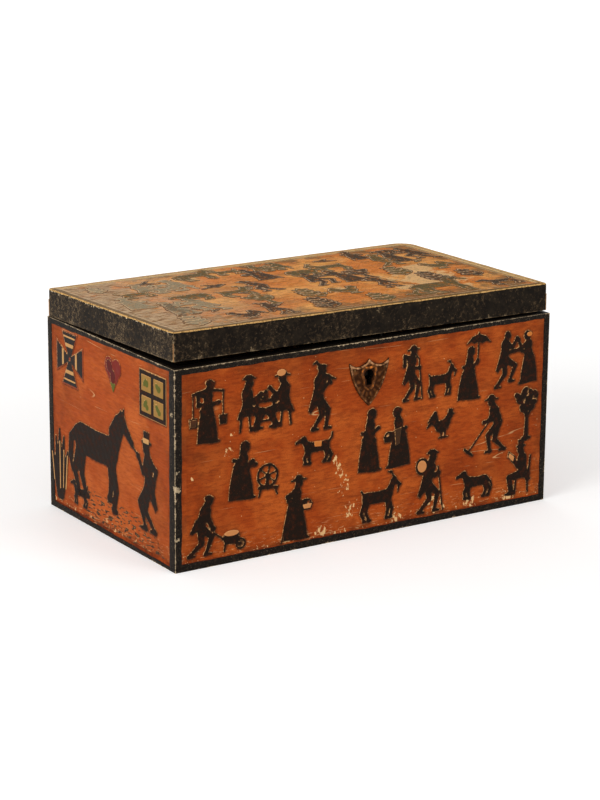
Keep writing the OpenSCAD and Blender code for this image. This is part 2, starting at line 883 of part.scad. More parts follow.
// A staple's blank from the top of the link plate down to the staple's closed end
module staple_blank(side, grow = 0) {
    x = lock_x + side * staple_spacing / 2;
    block(
        [x - staple_t / 2 - grow, staple_y - staple_w / 2 - grow, body_h - staple_bottom_drop],
        [x + staple_t / 2 + grow, staple_y + staple_w / 2 + grow, lid_z + lock_sheet_t]
    );
}

module link_plate() {
    color("#96733a")
        lid_pose()
            difference() {
                link_plate_blank();
                for (side = [-1, 1]) staple_blank(side, fit_gap);
                link_screw_spots() screw_hole(lock_screw_head_r, lock_screw_r, lock_screw_l);
            }
}

module link_staples() {
    color("#8d8477")
        lid_pose()
            for (side = [-1, 1])
                difference() {
                    staple_blank(side);
                    x = lock_x + side * staple_spacing / 2;
                    block(
                        [x - staple_t, staple_y - staple_eye_w / 2, body_h - eye_bottom_drop],
                        [x + staple_t, staple_y + staple_eye_w / 2, body_h - eye_top_drop]
                    );
                }
}

module link_screws() {
    color("#6b635a")
        lid_pose() link_screw_spots() screw(lock_screw_head_r, lock_screw_r, lock_screw_l, link_turn);
}

// A shield with a raised rim, and a raised frame round the keyhole
module escutcheon() {
    frame_edge = shield_frame_inset + shield_frame_w;
    color("#7a5526")
        difference() {
            union() {
                shield_step(shield_ground_t) shield_plan();
                shield_step(shield_rim_t)
                    difference() {
                        shield_plan();
                        shield_plan(shield_rim_w);
                    }
                shield_step(shield_rim_t)
                    difference() {
                        shield_plan(shield_frame_inset);
                        shield_plan(frame_edge);
                    }
            }
            translate([lock_x, front_y + past, body_h])
                rotate([90, 0, 0]) linear_extrude(shield_rim_t + 2 * past) keyhole();
            shield_pin_places() cylinder(r = shield_pin_r + fit_gap, h = shield_rim_t + past);
        }
}

module escutcheon_pins() {
    color("#8a6a35")
        shield_pin_places() {
            translate([0, 0, -shield_pin_l]) cylinder(r = shield_pin_r, h = shield_pin_l + shield_ground_t);
            translate([0, 0, shield_ground_t])
                intersection() {
                    sphere(shield_pin_head_r);
                    cylinder(r = shield_pin_head_r, h = shield_pin_head_r);
                }
        }
}

front_board();
back_board();
left_end_board();
right_end_board();
bottom_board();
bottom_nails();
front_bands();
back_bands();
left_bands();
right_bands();
lid_board();
lid_front_rail();
lid_back_rail();
lid_left_rail();
lid_right_rail();
lid_side_paper();
left_hinge_body_leaf();
left_hinge_lid_leaf();
left_hinge_pin();
right_hinge_body_leaf();
right_hinge_lid_leaf();
right_hinge_pin();
body_leaf_screws();
lid_leaf_screws();
lock_plate();
lock_case();
guide_studs();
key_pin();
key_ward();
bolt_spring();
lock_bolt();
lock_screws();
link_plate();
link_staples();
link_screws();
escutcheon();
escutcheon_pins();
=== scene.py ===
import json
import math

import bmesh
import bpy
import numpy as np
from mathutils import Matrix, Vector


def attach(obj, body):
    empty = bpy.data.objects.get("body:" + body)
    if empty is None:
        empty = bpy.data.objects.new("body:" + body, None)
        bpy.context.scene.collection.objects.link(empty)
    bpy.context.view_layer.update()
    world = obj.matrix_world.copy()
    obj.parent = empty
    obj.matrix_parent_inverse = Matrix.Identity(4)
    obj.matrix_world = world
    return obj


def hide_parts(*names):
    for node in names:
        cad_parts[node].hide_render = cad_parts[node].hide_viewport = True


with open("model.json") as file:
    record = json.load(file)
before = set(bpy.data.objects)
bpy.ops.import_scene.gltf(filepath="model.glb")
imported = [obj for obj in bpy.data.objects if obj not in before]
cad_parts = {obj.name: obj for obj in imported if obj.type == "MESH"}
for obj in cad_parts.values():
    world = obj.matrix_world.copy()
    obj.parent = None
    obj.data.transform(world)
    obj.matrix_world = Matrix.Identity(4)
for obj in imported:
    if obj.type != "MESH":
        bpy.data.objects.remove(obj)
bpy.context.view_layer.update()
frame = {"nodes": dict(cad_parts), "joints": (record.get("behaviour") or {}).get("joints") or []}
nodes = frame["nodes"]

# The view
# A camera left of the box and a little above it, with a long lens.
# Its place and lens were fitted to the corners of the box in the photograph.
view_aim = Vector((-0.0719, -0.1109, 0.1155))
view_azimuth = math.radians(-33.14)
view_elevation = math.radians(15.44)
view_roll = math.radians(0.44)
view_distance = 1.7258
view_lens = 113.3
view_sensor_w = 36.0
view_reach = 20.0


def new_object(name, data):
    """An object put in the scene."""
    made = bpy.data.objects.new(name, data)
    bpy.context.scene.collection.objects.link(made)
    return made


turn = (
    Matrix.Rotation(view_azimuth, 4, "Z")
    @ Matrix.Rotation(math.pi / 2 - view_elevation, 4, "X")
    @ Matrix.Rotation(view_roll, 4, "Z")
)
camera_data = bpy.data.cameras.new("view")
camera_data.lens = view_lens
camera_data.sensor_width = view_sensor_w
camera_data.clip_end = view_reach
camera = new_object("view", camera_data)
camera.matrix_world = Matrix.Translation(view_aim) @ turn @ Matrix.Translation((0, 0, view_distance))
bpy.context.scene.camera = camera
bpy.context.scene.view_settings.view_transform = "Standard"

# The light
# A pale room lights the box from all round, a wide soft lamp stands at the left front,
# a weaker one at the right front, and a low one behind gives the varnish its sheen.
room_strength = 0.55
lamps = {
    "left_lamp": ((-2.1, -0.55, 1.05), 1.3, 31.0),
    "right_lamp": ((0.9, -2.1, 1.1), 1.2, 15.0),
    "back_lamp": ((0.5, 1.7, 0.85), 0.8, 3.2),
}
box_middle = Vector((0, 0, 0.08))
for name, (place, size, watts) in lamps.items():
    lamp_data = bpy.data.lights.new(name, "AREA")
    lamp_data.shape = "SQUARE"
    lamp_data.size = size
    lamp_data.energy = watts
    lamp = new_object(name, lamp_data)
    lamp.location = place
    lamp.rotation_euler = (box_middle - lamp.location).to_track_quat("-Z", "Y").to_euler()


class Wire:
    """What a shader node puts out. A sum of wires and numbers makes a further node, whose wire it returns."""

    def __init__(self, nodes, socket):
        self.nodes = nodes
        self.socket = socket

    def __add__(self, other):
        return self.nodes.math("ADD", self, other)

    def __radd__(self, other):
        return self.nodes.math("ADD", other, self)

    def __sub__(self, other):
        return self.nodes.math("SUBTRACT", self, other)

    def __rsub__(self, other):
        return self.nodes.math("SUBTRACT", other, self)

    def __mul__(self, other):
        return self.nodes.math("MULTIPLY", self, other)

    def __abs__(self):
        return self.nodes.math("ABSOLUTE", self)


def most(first, *others):
    """The largest of a wire and others."""
    for other in others:
        first = first.nodes.math("MAXIMUM", first, other)
    return first


def least(first, *others):
    """The smallest of a wire and others."""
    for other in others:
        first = first.nodes.math("MINIMUM", first, other)
    return first


class Nodes:
    """Adds shader nodes to one tree. An input takes a number, a colour, a vector or a wire."""

    def __init__(self, tree):
        self.tree = tree

    def add(self, kind, inputs=None, **settings):
        """A node with its settings, and its inputs by name or by place."""
        node = self.tree.nodes.new("ShaderNode" + kind)
        for name, value in settings.items():
            setattr(node, name, value)
        for at, value in (inputs or {}).items():
            self.put(value, node.inputs[at])
        return node

    def put(self, value, into):
        """Gives an input a wire, or else a value of its own."""
        if isinstance(value, Wire):
            self.tree.links.new(value.socket, into)
        else:
            into.default_value = value

    def out(self, at, kind, inputs=None, **settings):
        """The wire from one output of a new node."""
        return Wire(self, self.add(kind, inputs, **settings).outputs[at])

    def outs(self, kind, inputs=None, **settings):
        """The wires from all the outputs of a new node, by name."""
        return {socket.name: Wire(self, socket) for socket in self.add(kind, inputs, **settings).outputs}

    def math(self, operation, a, b=0.0, clamp=False):
        """The result of one sum."""
        return self.out(0, "Math", {0: a, 1: b}, operation=operation, use_clamp=clamp)

    def mix(self, factor, a, b):
        """Two colours mixed by a factor."""
        return self.out(2, "Mix", {0: factor, 6: a, 7: b}, data_type="RGBA")

    def over(self, below, above, value, low, high, amount=1.0):
        """A colour laid over another, from nothing where a value is low to its full amount where high."""
        return self.mix(self.step(value, low, high, 0.0, amount), below, above)

    def step(self, value, low, high, start=0.0, end=1.0):
        """A smooth step from start to end as the value goes from low to high."""
        inputs = {"Value": value, "From Min": low, "From Max": high, "To Min": start, "To Max": end}
        return self.out(0, "MapRange", inputs, interpolation_type="SMOOTHSTEP")

    def fall(self, value, low, high, start=1.0):
        """A smooth step down to nothing as the value goes from low to high."""
        return self.step(value, low, high, start, 0.0)

    def noise(self, where, size, detail=3.0, roughness=0.55, stretch=(1, 1, 1), shift=(0, 0, 0)):
        """Noise with spots about size millimetres across, drawn out along each axis by stretch."""
        scale = tuple(1 / (size * s) for s in stretch)
        turned = (0.6, 0.5, 0.8)
        spot = self.out(
            0, "Mapping", {"Vector": where, "Scale": scale, "Rotation": turned, "Location": shift}
        )
        return self.out(
            0, "TexNoise", {"Vector": spot, "Scale": 1.0, "Detail": detail, "Roughness": roughness}
        )

    def cells(self, where, size, shift=(0, 0, 0)):
        """The distance to the nearest of scattered points, in cells, and three random values for each."""
        spot = self.out(0, "Mapping", {"Vector": where, "Scale": (1 / size,) * 3, "Location": shift})
        found = self.outs("TexVoronoi", {"Vector": spot, "Scale": 1.0})
        return found["Distance"], self.apart(found["Color"])

    def millimetres(self):
        """The place on the piece in millimetres, in the frame of the whole box."""
        place = self.out("Object", "TexCoord")
        return self.out(0, "VectorMath", {0: place, "Scale": 1000.0}, operation="SCALE")

    def apart(self, vector):
        """The three parts of a vector."""
        return list(self.outs("SeparateXYZ", {0: vector}).values())

    def distance(self, where, spot):
        """How far a place is from a spot."""
        return self.out("Value", "VectorMath", {0: where, 1: spot}, operation="DISTANCE")

    def stretched(self, where, by):
        """A place with each part multiplied by its own number."""
        return self.out(0, "VectorMath", {0: where, 1: by}, operation="MULTIPLY")

    def mark(self, name):
        """The value that a mesh carries at each point under a name."""
        return self.out("Fac", "Attribute", attribute_name=name)


def srgb(red, green, blue):
    """A colour as a screen shows it, in steps of 255, turned to the linear values that shaders use."""
    shown = np.array([red, green, blue]) / 255
    linear = np.where(shown < 0.04045, shown / 12.92, ((shown + 0.055) / 1.055) ** 2.4)
    return (*linear.tolist(), 1.0)


# The room is white to the eye, and dimmer where it lights the box or shows in its varnish
world = bpy.data.worlds.new("room")
bpy.context.scene.world = world
world.use_nodes = True
world.node_tree.nodes.clear()
room = Nodes(world.node_tree)
rays = room.outs("LightPath")
seen = most(rays["Is Camera Ray"], rays["Is Transmission Ray"])
seen = most(seen, rays["Is Glossy Ray"] * 0.5)
strength = room.step(seen, 0.0, 1.0, room_strength, 1.0)
sky = room.out(0, "Background", {"Color": (1, 1, 1, 1), "Strength": strength})
room.add("OutputWorld", {"Surface": sky})


def plain_material(name, **values):
    """
    A material with one shader joined to its output. An underscore in a value's name stands for a space.
    Returns the material, its nodes and the shader.
    """
    material = bpy.data.materials.new(name)
    material.use_nodes = True
    material.node_tree.nodes.clear()
    made = Nodes(material.node_tree)
    shader = made.add("BsdfPrincipled", {label.replace("_", " "): value for label, value in values.items()})
    made.add("OutputMaterial", {"Surface": Wire(made, shader.outputs[0])})
    return material, made, shader


# The floor
# A pale sheet under the box, which shows white to the eye and keeps the box's soft shadow.
floor_size = 12.0
floor_lift = 0.3
floor_far_lift = 0.8
floor_lift_start = 300.0
floor_lift_end = 1600.0
floor_blot = 400.0
floor_cells = 4
floor_row = floor_cells + 1

floor_mesh = bpy.data.meshes.new("floor")
edge = np.linspace(-floor_size / 2, floor_size / 2, floor_row)
floor_x, floor_y = np.meshgrid(edge, edge, indexing="ij")
floor_points = np.stack([floor_x, floor_y, np.zeros_like(floor_x)], -1).reshape(-1, 3)
corner = np.arange(floor_cells * floor_row).reshape(floor_cells, floor_row)[:, :-1].reshape(-1, 1)
floor_faces = corner + [0, floor_row, floor_row + 1, 1]
floor_mesh.from_pydata(floor_points.tolist(), [], floor_faces.tolist())
floor = new_object("floor", floor_mesh)
floor_material, floor_nodes, floor_shader = plain_material(
    "pale_floor", Roughness=0.9, Specular_IOR_Level=0.1, Emission_Color=(1, 1, 1, 1)
)
floor_place = floor_nodes.millimetres()
floor_tone = floor_nodes.noise(floor_place, floor_blot)
floor_colour = floor_nodes.mix(floor_tone, srgb(236, 235, 233), srgb(242, 241, 240))
floor_rays = floor_nodes.outs("LightPath")
floor_seen = most(floor_rays["Is Camera Ray"], floor_rays["Is Glossy Ray"])
floor_reach = floor_nodes.out("Value", "VectorMath", {0: floor_place}, operation="LENGTH")
floor_glow = floor_nodes.step(floor_reach, floor_lift_start, floor_lift_end, floor_lift, floor_far_lift)
floor_nodes.put(floor_colour, floor_shader.inputs["Base Color"])
floor_nodes.put(floor_seen * floor_glow, floor_shader.inputs["Emission Strength"])
floor.data.materials.append(floor_material)

# The boards
# Four softwood boards dovetailed at the corners and painted rust red on the outside only.
# The paint is thin and brushed along the boards, and has darkened, scratched and chipped.
box_half_w = 160.0
box_half_d = 91.5
box_h = 144.0
keyhole_spot = (-1.5, -91.5, 117.4)
rust = srgb(163, 68, 22)
bright_rust = srgb(186, 90, 34)
dark_rust = srgb(104, 40, 15)
# The end boards' paint is a little lighter and yellower than the front's: painted light, for the lamp that
# falls on the left end.
lit_end_rust = srgb(166, 73, 28)
lit_bright_end_rust = srgb(184, 92, 40)
lit_dark_end_rust = srgb(126, 54, 22)
soot_brown = srgb(76, 34, 16)
# Painted shade: the top of the walls and the walls of the keyhole are painted this black, as the shade in the
# gap under the lid and in the keyhole.
rim_shade_black = srgb(16, 12, 9)
bare_buff = srgb(222, 178, 122)
new_pine = srgb(178, 134, 84)
old_pine = srgb(138, 96, 55)
grain_brown = srgb(104, 68, 37)
# Where the paint has flaked on the front: across from the middle, up, and the size of the patch
flaked_spots = [(-27, 59, 9), (-24, 50, 12), (-21, 40, 12), (-17, 17, 9), (-14, 24, 12), (-118, 80, 9)]
flaked_spots += [
    (-113, 92, 7), (23, 9, 18), (60, 15, 20), (92, 9, 16), (126, 8, 18), (-40, 9, 14), (-148, 66, 6)
]
# How far dirt from the old paste under the pictures, and painted shadow below and right of them, spread into
# the paint, and how far that sheet stands up
stain_and_shadow_w = 1.9
stain_t = 0.02
# How near to a face of the box still counts as on it
face_hair = 0.05


def shader_group(name, inputs, outputs):
    """An empty group of shader nodes. Returns its nodes, its inputs and the inputs of its last node."""
    kinds = {"value": "NodeSocketFloat", "colour": "NodeSocketColor", "vector": "NodeSocketVector"}
    group = bpy.data.node_groups.new(name, "ShaderNodeTree")
    for side, sockets in (("INPUT", inputs), ("OUTPUT", outputs)):
        for label, kind in sockets.items():
            group.interface.new_socket(label, in_out=side, socket_type=kinds[kind])
    made = Nodes(group)
    asked = {socket.name: Wire(made, socket) for socket in group.nodes.new("NodeGroupInput").outputs}
    return made, asked, group.nodes.new("NodeGroupOutput").inputs


def put_out(made, last, **values):
    """Joins the named values to a group's outputs."""
    for label, value in values.items():
        made.put(value, last[label])


# Paint laid on with a brush: streaks along one way, cloudy patches, pale specks and fine scratches
brushed, asked, given = shader_group(
    "brushed_paint",
    {
        "Place": "vector", "Along": "vector", "Colour": "colour", "Light": "colour", "Dark": "colour",
        "Speck": "colour",
    },
    {"Colour": "colour", "Roughness": "value", "Height": "value"},
)
spot = asked["Place"]
laid = brushed.stretched(spot, asked["Along"])
cloud = brushed.noise(spot, 34.0, 3.0, 0.6)
finer = brushed.stretched(laid, asked["Along"])
blotch = brushed.noise(laid, 5.0, 6.0, 0.74, shift=(7, 3, 5))
streak = brushed.noise(laid, 1.5, 3.0, 0.6)
grit = brushed.noise(spot, 0.55, 2.0, 0.7, shift=(1, 9, 4))
shade = brushed.noise(laid, 26.0, 4.0, 0.6, shift=(2, 9, 6))
tone = brushed.over(asked["Colour"], asked["Light"], cloud, 0.4, 0.66)
tone = brushed.over(tone, asked["Dark"], shade, 0.46, 0.7, 0.42)
tone = brushed.over(tone, asked["Dark"], blotch, 0.5, 0.74, 0.6)
tone = brushed.mix(brushed.fall(streak, 0.32, 0.56, 0.42), tone, asked["Dark"])
tone = brushed.over(tone, asked["Light"], streak, 0.54, 0.74, 0.45)
tone = brushed.over(tone, asked["Dark"], grit, 0.5, 0.74, 0.7)
tone = brushed.mix(brushed.fall(grit, 0.24, 0.42, 0.45), tone, asked["Light"])
speck_far, speck_kind = brushed.cells(spot, 4.6)
kept = brushed.step(speck_kind[0], 0.72, 0.76)
speck = brushed.fall(speck_far, 0.05, 0.1) * kept
dot_far, dot_kind = brushed.cells(spot, 3.1, shift=(4, 8, 2))
dotted = brushed.step(dot_kind[1], 0.76, 0.9)
dot = brushed.fall(dot_far, 0.06, 0.19, 0.9) * dotted
line_noise = brushed.noise(finer, 14.0, 1.5, 0.4, shift=(3, 3, 11))
nearness = abs(line_noise - 0.52)
scratched = brushed.noise(spot, 26.0, 2.0, shift=(12, 4, 9))
scratch = brushed.fall(nearness, 0.0012, 0.004) * brushed.step(scratched, 0.52, 0.66, 0.0, 0.6)
tone = brushed.mix(dot, tone, asked["Dark"])
tone = brushed.mix(speck * 0.85, tone, asked["Speck"])
tone = brushed.mix(scratch, tone, asked["Speck"])
shine = brushed.step(blotch, 0.3, 0.72, 0.4, 0.56)
low = most(speck, scratch, dot)
relief = streak * 0.55 - low + grit * 0.35
put_out(brushed, given, Colour=tone, Roughness=shine, Height=relief)

# Planed softwood gone brown with age: fine fibres along the grain, wide rings and grey handling marks
grained, asked, given = shader_group(
    "old_softwood",
    {"Place": "vector", "Along": "vector", "Pale": "colour", "Brown": "colour", "Ring": "colour"},
    {"Colour": "colour", "Roughness": "value", "Height": "value"},
)
laid = grained.stretched(asked["Place"], asked["Along"])
wander = grained.noise(laid, 14.0, 2.0, 0.5)
rings = grained.math("FRACT", wander * 11.0)
ring = grained.step(rings, 0.25, 0.9) * grained.fall(rings, 0.9, 1.0)
fibre = grained.noise(laid, 0.7, 3.0, 0.65)
stain = grained.noise(asked["Place"], 40.0, 4.0, 0.6, shift=(5, 5, 5))
tone = grained.over(asked["Pale"], asked["Brown"], stain, 0.38, 0.68)
tone = grained.mix(ring * 0.5, tone, asked["Ring"])
tone = grained.over(tone, asked["Ring"], fibre, 0.5, 0.75, 0.45)
rough = grained.step(fibre, 0.3, 0.7, 0.62, 0.82)
put_out(grained, given, Colour=tone, Roughness=rough, Height=fibre * 0.6 - ring * 0.3)


def surface(made, shader, colour, roughness, height, depth):
    """Gives a shader its colour, roughness and relief, where depth is the height of 1 in millimetres."""
    relief = made.out(0, "Bump", {"Strength": 1.0, "Distance": depth / 1000, "Height": height})
    for label, value in (("Base Color", colour), ("Roughness", roughness), ("Normal", relief)):
        made.put(value, shader.inputs[label])


def bare_wood(made, place, grain):
    """The colour, roughness and height of old softwood with its grain one way."""
    inputs = {"Place": place, "Along": grain, "Pale": new_pine, "Brown": old_pine, "Ring": grain_brown}
    return made.outs("Group", inputs, node_tree=grained.tree)


def brushed_coat(made, place, brush, plain, light, dark):
    """The colour, roughness and height of paint in three colours, brushed one way and specked."""
    inputs = {
        "Place": place, "Along": brush, "Colour": plain, "Light": light, "Dark": dark, "Speck": bare_buff
    }
    return made.outs("Group", inputs, node_tree=brushed.tree)


def on_outside(made, side, end):
    """1 on the four outer faces of the box and 0 inside it, from the distances to its middle both ways."""
    beyond = made.math("GREATER_THAN", side, box_half_w - face_hair)
    return most(beyond, made.math("GREATER_THAN", end, box_half_d - face_hair))


def board_material(name, grain, brush, spots, colours):
    """
    Paint on the outer faces of the box and bare wood everywhere else, grained and brushed along one way, but
    the top of the walls and the keyhole are painted black as the shade there. The paint has three colours,
    plain, light and dark. It is sooty along the papers, scuffed low down, and flaked at the spots, and round
    the pictures it is stained by old paste, with painted shadow below them and to their right.
    """
    along_side = 1.0 if brush[0] < 1 else 0.0
    along_half = box_half_w if brush[0] < 1 else box_half_d
    material, made, shader = plain_material(name, Specular_IOR_Level=0.035)
    place = made.millimetres()
    parts = made.apart(place)
    side = abs(parts[0])
    end = abs(parts[1])
    outer = on_outside(made, side, end)
    paint = brushed_coat(made, place, brush, *colours)
    wood = bare_wood(made, place, grain)
    ragged = made.noise(place, 3.4, 4.0, 0.58, stretch=(0.85, 1.0, 1.35), shift=(2, 6, 1))
    open_paint = made.step(parts[2], 5.0, 20.0, 0.6, 0.14)
    for across, up, size in spots:
        far = made.distance(place, (across, -box_half_d, up))
        open_paint = most(open_paint, made.fall(far, 0.0, size))
    limit = made.step(open_paint, 0.0, 1.0, 0.78, 0.52)
    chip = made.math("MULTIPLY", ragged - limit, 40.0, clamp=True)
    soot = made.noise(place, 20.0, 4.0, 0.65, shift=(9, 9, 3))
    low = made.fall(parts[2], 5.0, 11.0, 0.7) * made.step(soot, 0.36, 0.56)
    high = made.step(parts[2], 128.0, 141.0, 0.0, 0.45) * made.step(soot, 0.36, 0.62)
    near_end = along_half - side * along_side - end * (1 - along_side)
    beside = made.fall(near_end, 5.0, 13.0, 0.5) * made.step(soot, 0.3, 0.56)
    dusky = made.fall(near_end, 8.0, 60.0, 0.4) * made.step(soot, 0.34, 0.6, 0.25, 1.0)
    sooty = most(low, high, most(beside, dusky))
    tone = made.mix(sooty, paint["Colour"], soot_brown)
    # Dirt drawn to the old paste round the pictures, and painted shadow below them and to their right
    inset = made.mark("inset")
    looks = made.mark("looks")
    paste_dirt_and_shadow = made.step(inset, 0.0, stain_and_shadow_w, 0.0, 0.95) * made.step(looks, -0.6, 0.5, 1.0, 0.4)
    paste_dirt_and_shadow = paste_dirt_and_shadow * made.step(ragged, 0.3, 0.56, 0.4, 1.0)
    tone = made.mix(paste_dirt_and_shadow, tone, soot_brown)
    swept = made.stretched(place, brush)
    scuff = made.step(made.noise(swept, 1.2, 4.0, 0.7, shift=(8, 2, 2)), 0.56, 0.66, 0.0, 0.55)
    scuff = scuff * made.fall(parts[2], 7.0, 26.0)
    tone = made.mix(scuff, tone, bare_buff)
    tone = made.mix(chip, tone, bare_buff)
    # Fingers and keys have blackened the wood in the keyhole and under the shield, and the keyhole's walls
    # are painted black as the shade in it. The top of the walls is painted black too, as the shade in the gap
    # under the lid.
    far = made.distance(place, keyhole_spot)
    fingered_and_shaded = made.fall(far, 9.0, 14.0)
    rim = made.step(parts[2], box_h - 0.2, box_h - 0.05)
    inner = made.mix(rim, wood["Colour"], rim_shade_black)
    surface(
        made, shader, made.mix(fingered_and_shaded, made.mix(outer, inner, tone), rim_shade_black),
        outer * -0.2 + wood["Roughness"], paint["Height"] - chip * 1.5, 0.05,
    )
    return material


def finish_nodes(material, *names):
    """Gives nodes of the frame a material in every slot they have."""
    for name in names:
        for slot in nodes[name].material_slots:
            slot.material = material


along_x = (0.07, 1.0, 1.0)
along_y = (1.0, 0.07, 1.0)
brushed_x = (0.22, 1.0, 1.0)
brushed_y = (1.0, 0.22, 1.0)
long_colours = (rust, bright_rust, dark_rust)
lit_end_colours = (lit_end_rust, lit_bright_end_rust, lit_dark_end_rust)
front_material = board_material("painted_front_board", along_x, brushed_x, flaked_spots, long_colours)
back_material = board_material("painted_back_board", along_x, brushed_x, [], long_colours)
end_material = board_material("painted_end_boards", along_y, brushed_y, [], lit_end_colours)
finish_nodes(front_material, "front_board")
finish_nodes(back_material, "back_board")
finish_nodes(end_material, "left_end_board", "right_end_board")

# The bottom
# One softwood board nailed up into the edges of the four walls, left bare inside and out.
# The underside has gone grey and scuffed where the box has stood and been pushed about.
scuffed_pine = srgb(140, 106, 72)

bottom_material, made, shader = plain_material("bare_bottom", Specular_IOR_Level=0.05)
place = made.millimetres()
wood = bare_wood(made, place, along_x)
rubbed = made.noise(place, 22.0, 5.0, 0.7)
parts = made.apart(place)
under = made.fall(parts[2], 0.5, 3.0)
worn = made.step(rubbed, 0.42, 0.62) * most(under, 0.35)
painted = on_outside(made, abs(parts[0]), abs(parts[1]))
paint = brushed_coat(made, place, brushed_x, dark_rust, rust, soot_brown)
surface(
    made, shader, made.mix(painted, made.mix(worn, wood["Colour"], scuffed_pine), paint["Colour"]),
    wood["Roughness"], wood["Height"], 0.12,
)
finish_nodes(bottom_material, "bottom_board")

# The nails
# Plain iron nails, rusty, driven up through the bottom board into the walls.
# Their metal, like all the metal on the box, is brushed by filing and use, and spotted with age.
aged_metal, asked, given = shader_group(
    "aged_metal",
    {"Place": "vector", "Bright": "colour", "Dark": "colour", "Tarnish": "value"},
    {"Colour": "colour", "Roughness": "value", "Height": "value"},
)
spot = asked["Place"]
film = aged_metal.noise(spot, 5.0, 5.0, 0.7)
pitted = aged_metal.noise(spot, 0.6, 2.0, 0.6, shift=(3, 1, 8))
filed = aged_metal.noise(spot, 0.35, 2.0, stretch=(12, 1, 1), shift=(6, 2, 4))
dull = aged_metal.step(film, 0.3, 0.72) + asked["Tarnish"]
dull = aged_metal.math("SUBTRACT", dull, 0.5, clamp=True)
dull = most(dull, aged_metal.step(pitted, 0.6, 0.72))
put_out(
    aged_metal,
    given,
    Colour=aged_metal.mix(dull, asked["Bright"], asked["Dark"]),
    Roughness=aged_metal.step(dull, 0.0, 1.0, 0.3, 0.62),
    Height=filed * 0.5 - aged_metal.step(pitted, 0.58, 0.7),
)


def old_metal(made, place, bright, dark, tarnish):
    """The colour, roughness and height of metal that is bright where rubbed and dark where tarnished."""
    inputs = {"Place": place, "Bright": bright, "Dark": dark, "Tarnish": tarnish}
    return made.outs("Group", inputs, node_tree=aged_metal.tree)


def metal_material(name, bright, dark, tarnish):
    """Solid old metal."""
    material, made, shader = plain_material(name, Metallic=1.0)
    aged = old_metal(made, made.millimetres(), bright, dark, tarnish)
    surface(made, shader, aged["Colour"], aged["Roughness"], aged["Height"], 0.03)
    return material


finish_nodes(metal_material("rusty_nails", srgb(104, 92, 84), srgb(74, 44, 30), 0.75), "bottom_nails")

# The edge papers
# Strips of black paper pasted round the edges of every face, over the joints of the boards,
# cut by hand to about 5 mm, a little wavy, and rubbed through along the corners of the box.
paper_t = 0.2
paper_round = 0.5
paper_sunk = -0.05
paper_spacing = 1.5
paper_wave = 0.34
paper_wave_start = 8.0
hinge_x = 105.0
hinge_half_l = 16.0
leaf_t = 1.2
paper_black = srgb(18, 13, 9)
paper_brown = srgb(70, 54, 40)
paper_grey = srgb(92, 84, 70)
paper_buff = srgb(206, 182, 146)
# Where the papers have chipped on the corner nearest the eye: the place, and the size of the patch
chipped_corners = [
    ((-159, -91.5, 60), 6.5), ((-158, -91.5, 72), 3), ((-159, -91.5, 24), 4), ((-160, -88, 112), 4)
]


def ripple(along, seed):
    """Four sine waves of 47, 19, 8.3 and 3.7 mm added up, between -1 and 1."""
    waves = np.zeros_like(along)
    for length, share, turn in ((47.0, 0.42, 1.3), (19.0, 0.28, 2.9), (8.3, 0.18, 4.1), (3.7, 0.12, 0.7)):
        waves = waves + share * np.sin(2 * np.pi * along / length + turn * seed)
    return waves


def woven(rows, columns):
    """Faces of a sheet that closes on itself both ways, as a tyre does."""
    at = np.arange(rows * columns).reshape(rows, columns)
    after = np.roll(at, -1, 0)
    return np.stack([at, after, np.roll(after, -1, 1), np.roll(at, -1, 1)], -1).reshape(-1, 4)


def outwards(points, faces):
    """Turns the faces of a closed shape outwards, by the sign of the volume of the pyramids under them."""
    first, second, third = (points[faces[:, i]] for i in (0, 1, 2))
    volume = np.einsum("ij,ij->i", first, np.cross(second, third)).sum()
    if faces.shape[1] == 4:
        volume += np.einsum("ij,ij->i", first, np.cross(third, points[faces[:, 3]])).sum()
    return faces if volume > 0 else faces[:, ::-1]


def add_piece(name, points, faces, material, body, replaced=(), marks=None, sharp=40.0):
    """A mesh in millimetres made a piece of the box, with a value for each point under each name in marks."""
    mesh = bpy.data.meshes.new(name)
    mesh.from_pydata((points / 1000).tolist(), [], faces.tolist())
    for label, values in (marks or {}).items():
        carried = mesh.attributes.new(label, "FLOAT", "POINT")
        carried.data.foreach_set("value", np.ravel(values).astype(np.float32))
    mesh.shade_smooth()
    mesh.set_sharp_from_angle(angle=math.radians(sharp))
    mesh.materials.append(material)
    piece = new_object(name, mesh)
    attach(piece, body)
    if replaced:
        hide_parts(*replaced)
    return piece


def on_front(across, up, out):
    """A place on the front: across to the right of its middle, up from the floor, and out from the board."""
    return np.stack([across, -box_half_d - out, up], -1)


def on_back(across, up, out):
    """A place on the back, across to the right as it is looked at."""
    return np.stack([-across, box_half_d + out, up], -1)


def on_left(across, up, out):
    """A place on the left end, across to the right as it is looked at."""
    return np.stack([-box_half_w - out, -across, up], -1)


def on_right(across, up, out):
    """A place on the right end, across to the right as it is looked at."""
    return np.stack([box_half_w + out, across, up], -1)


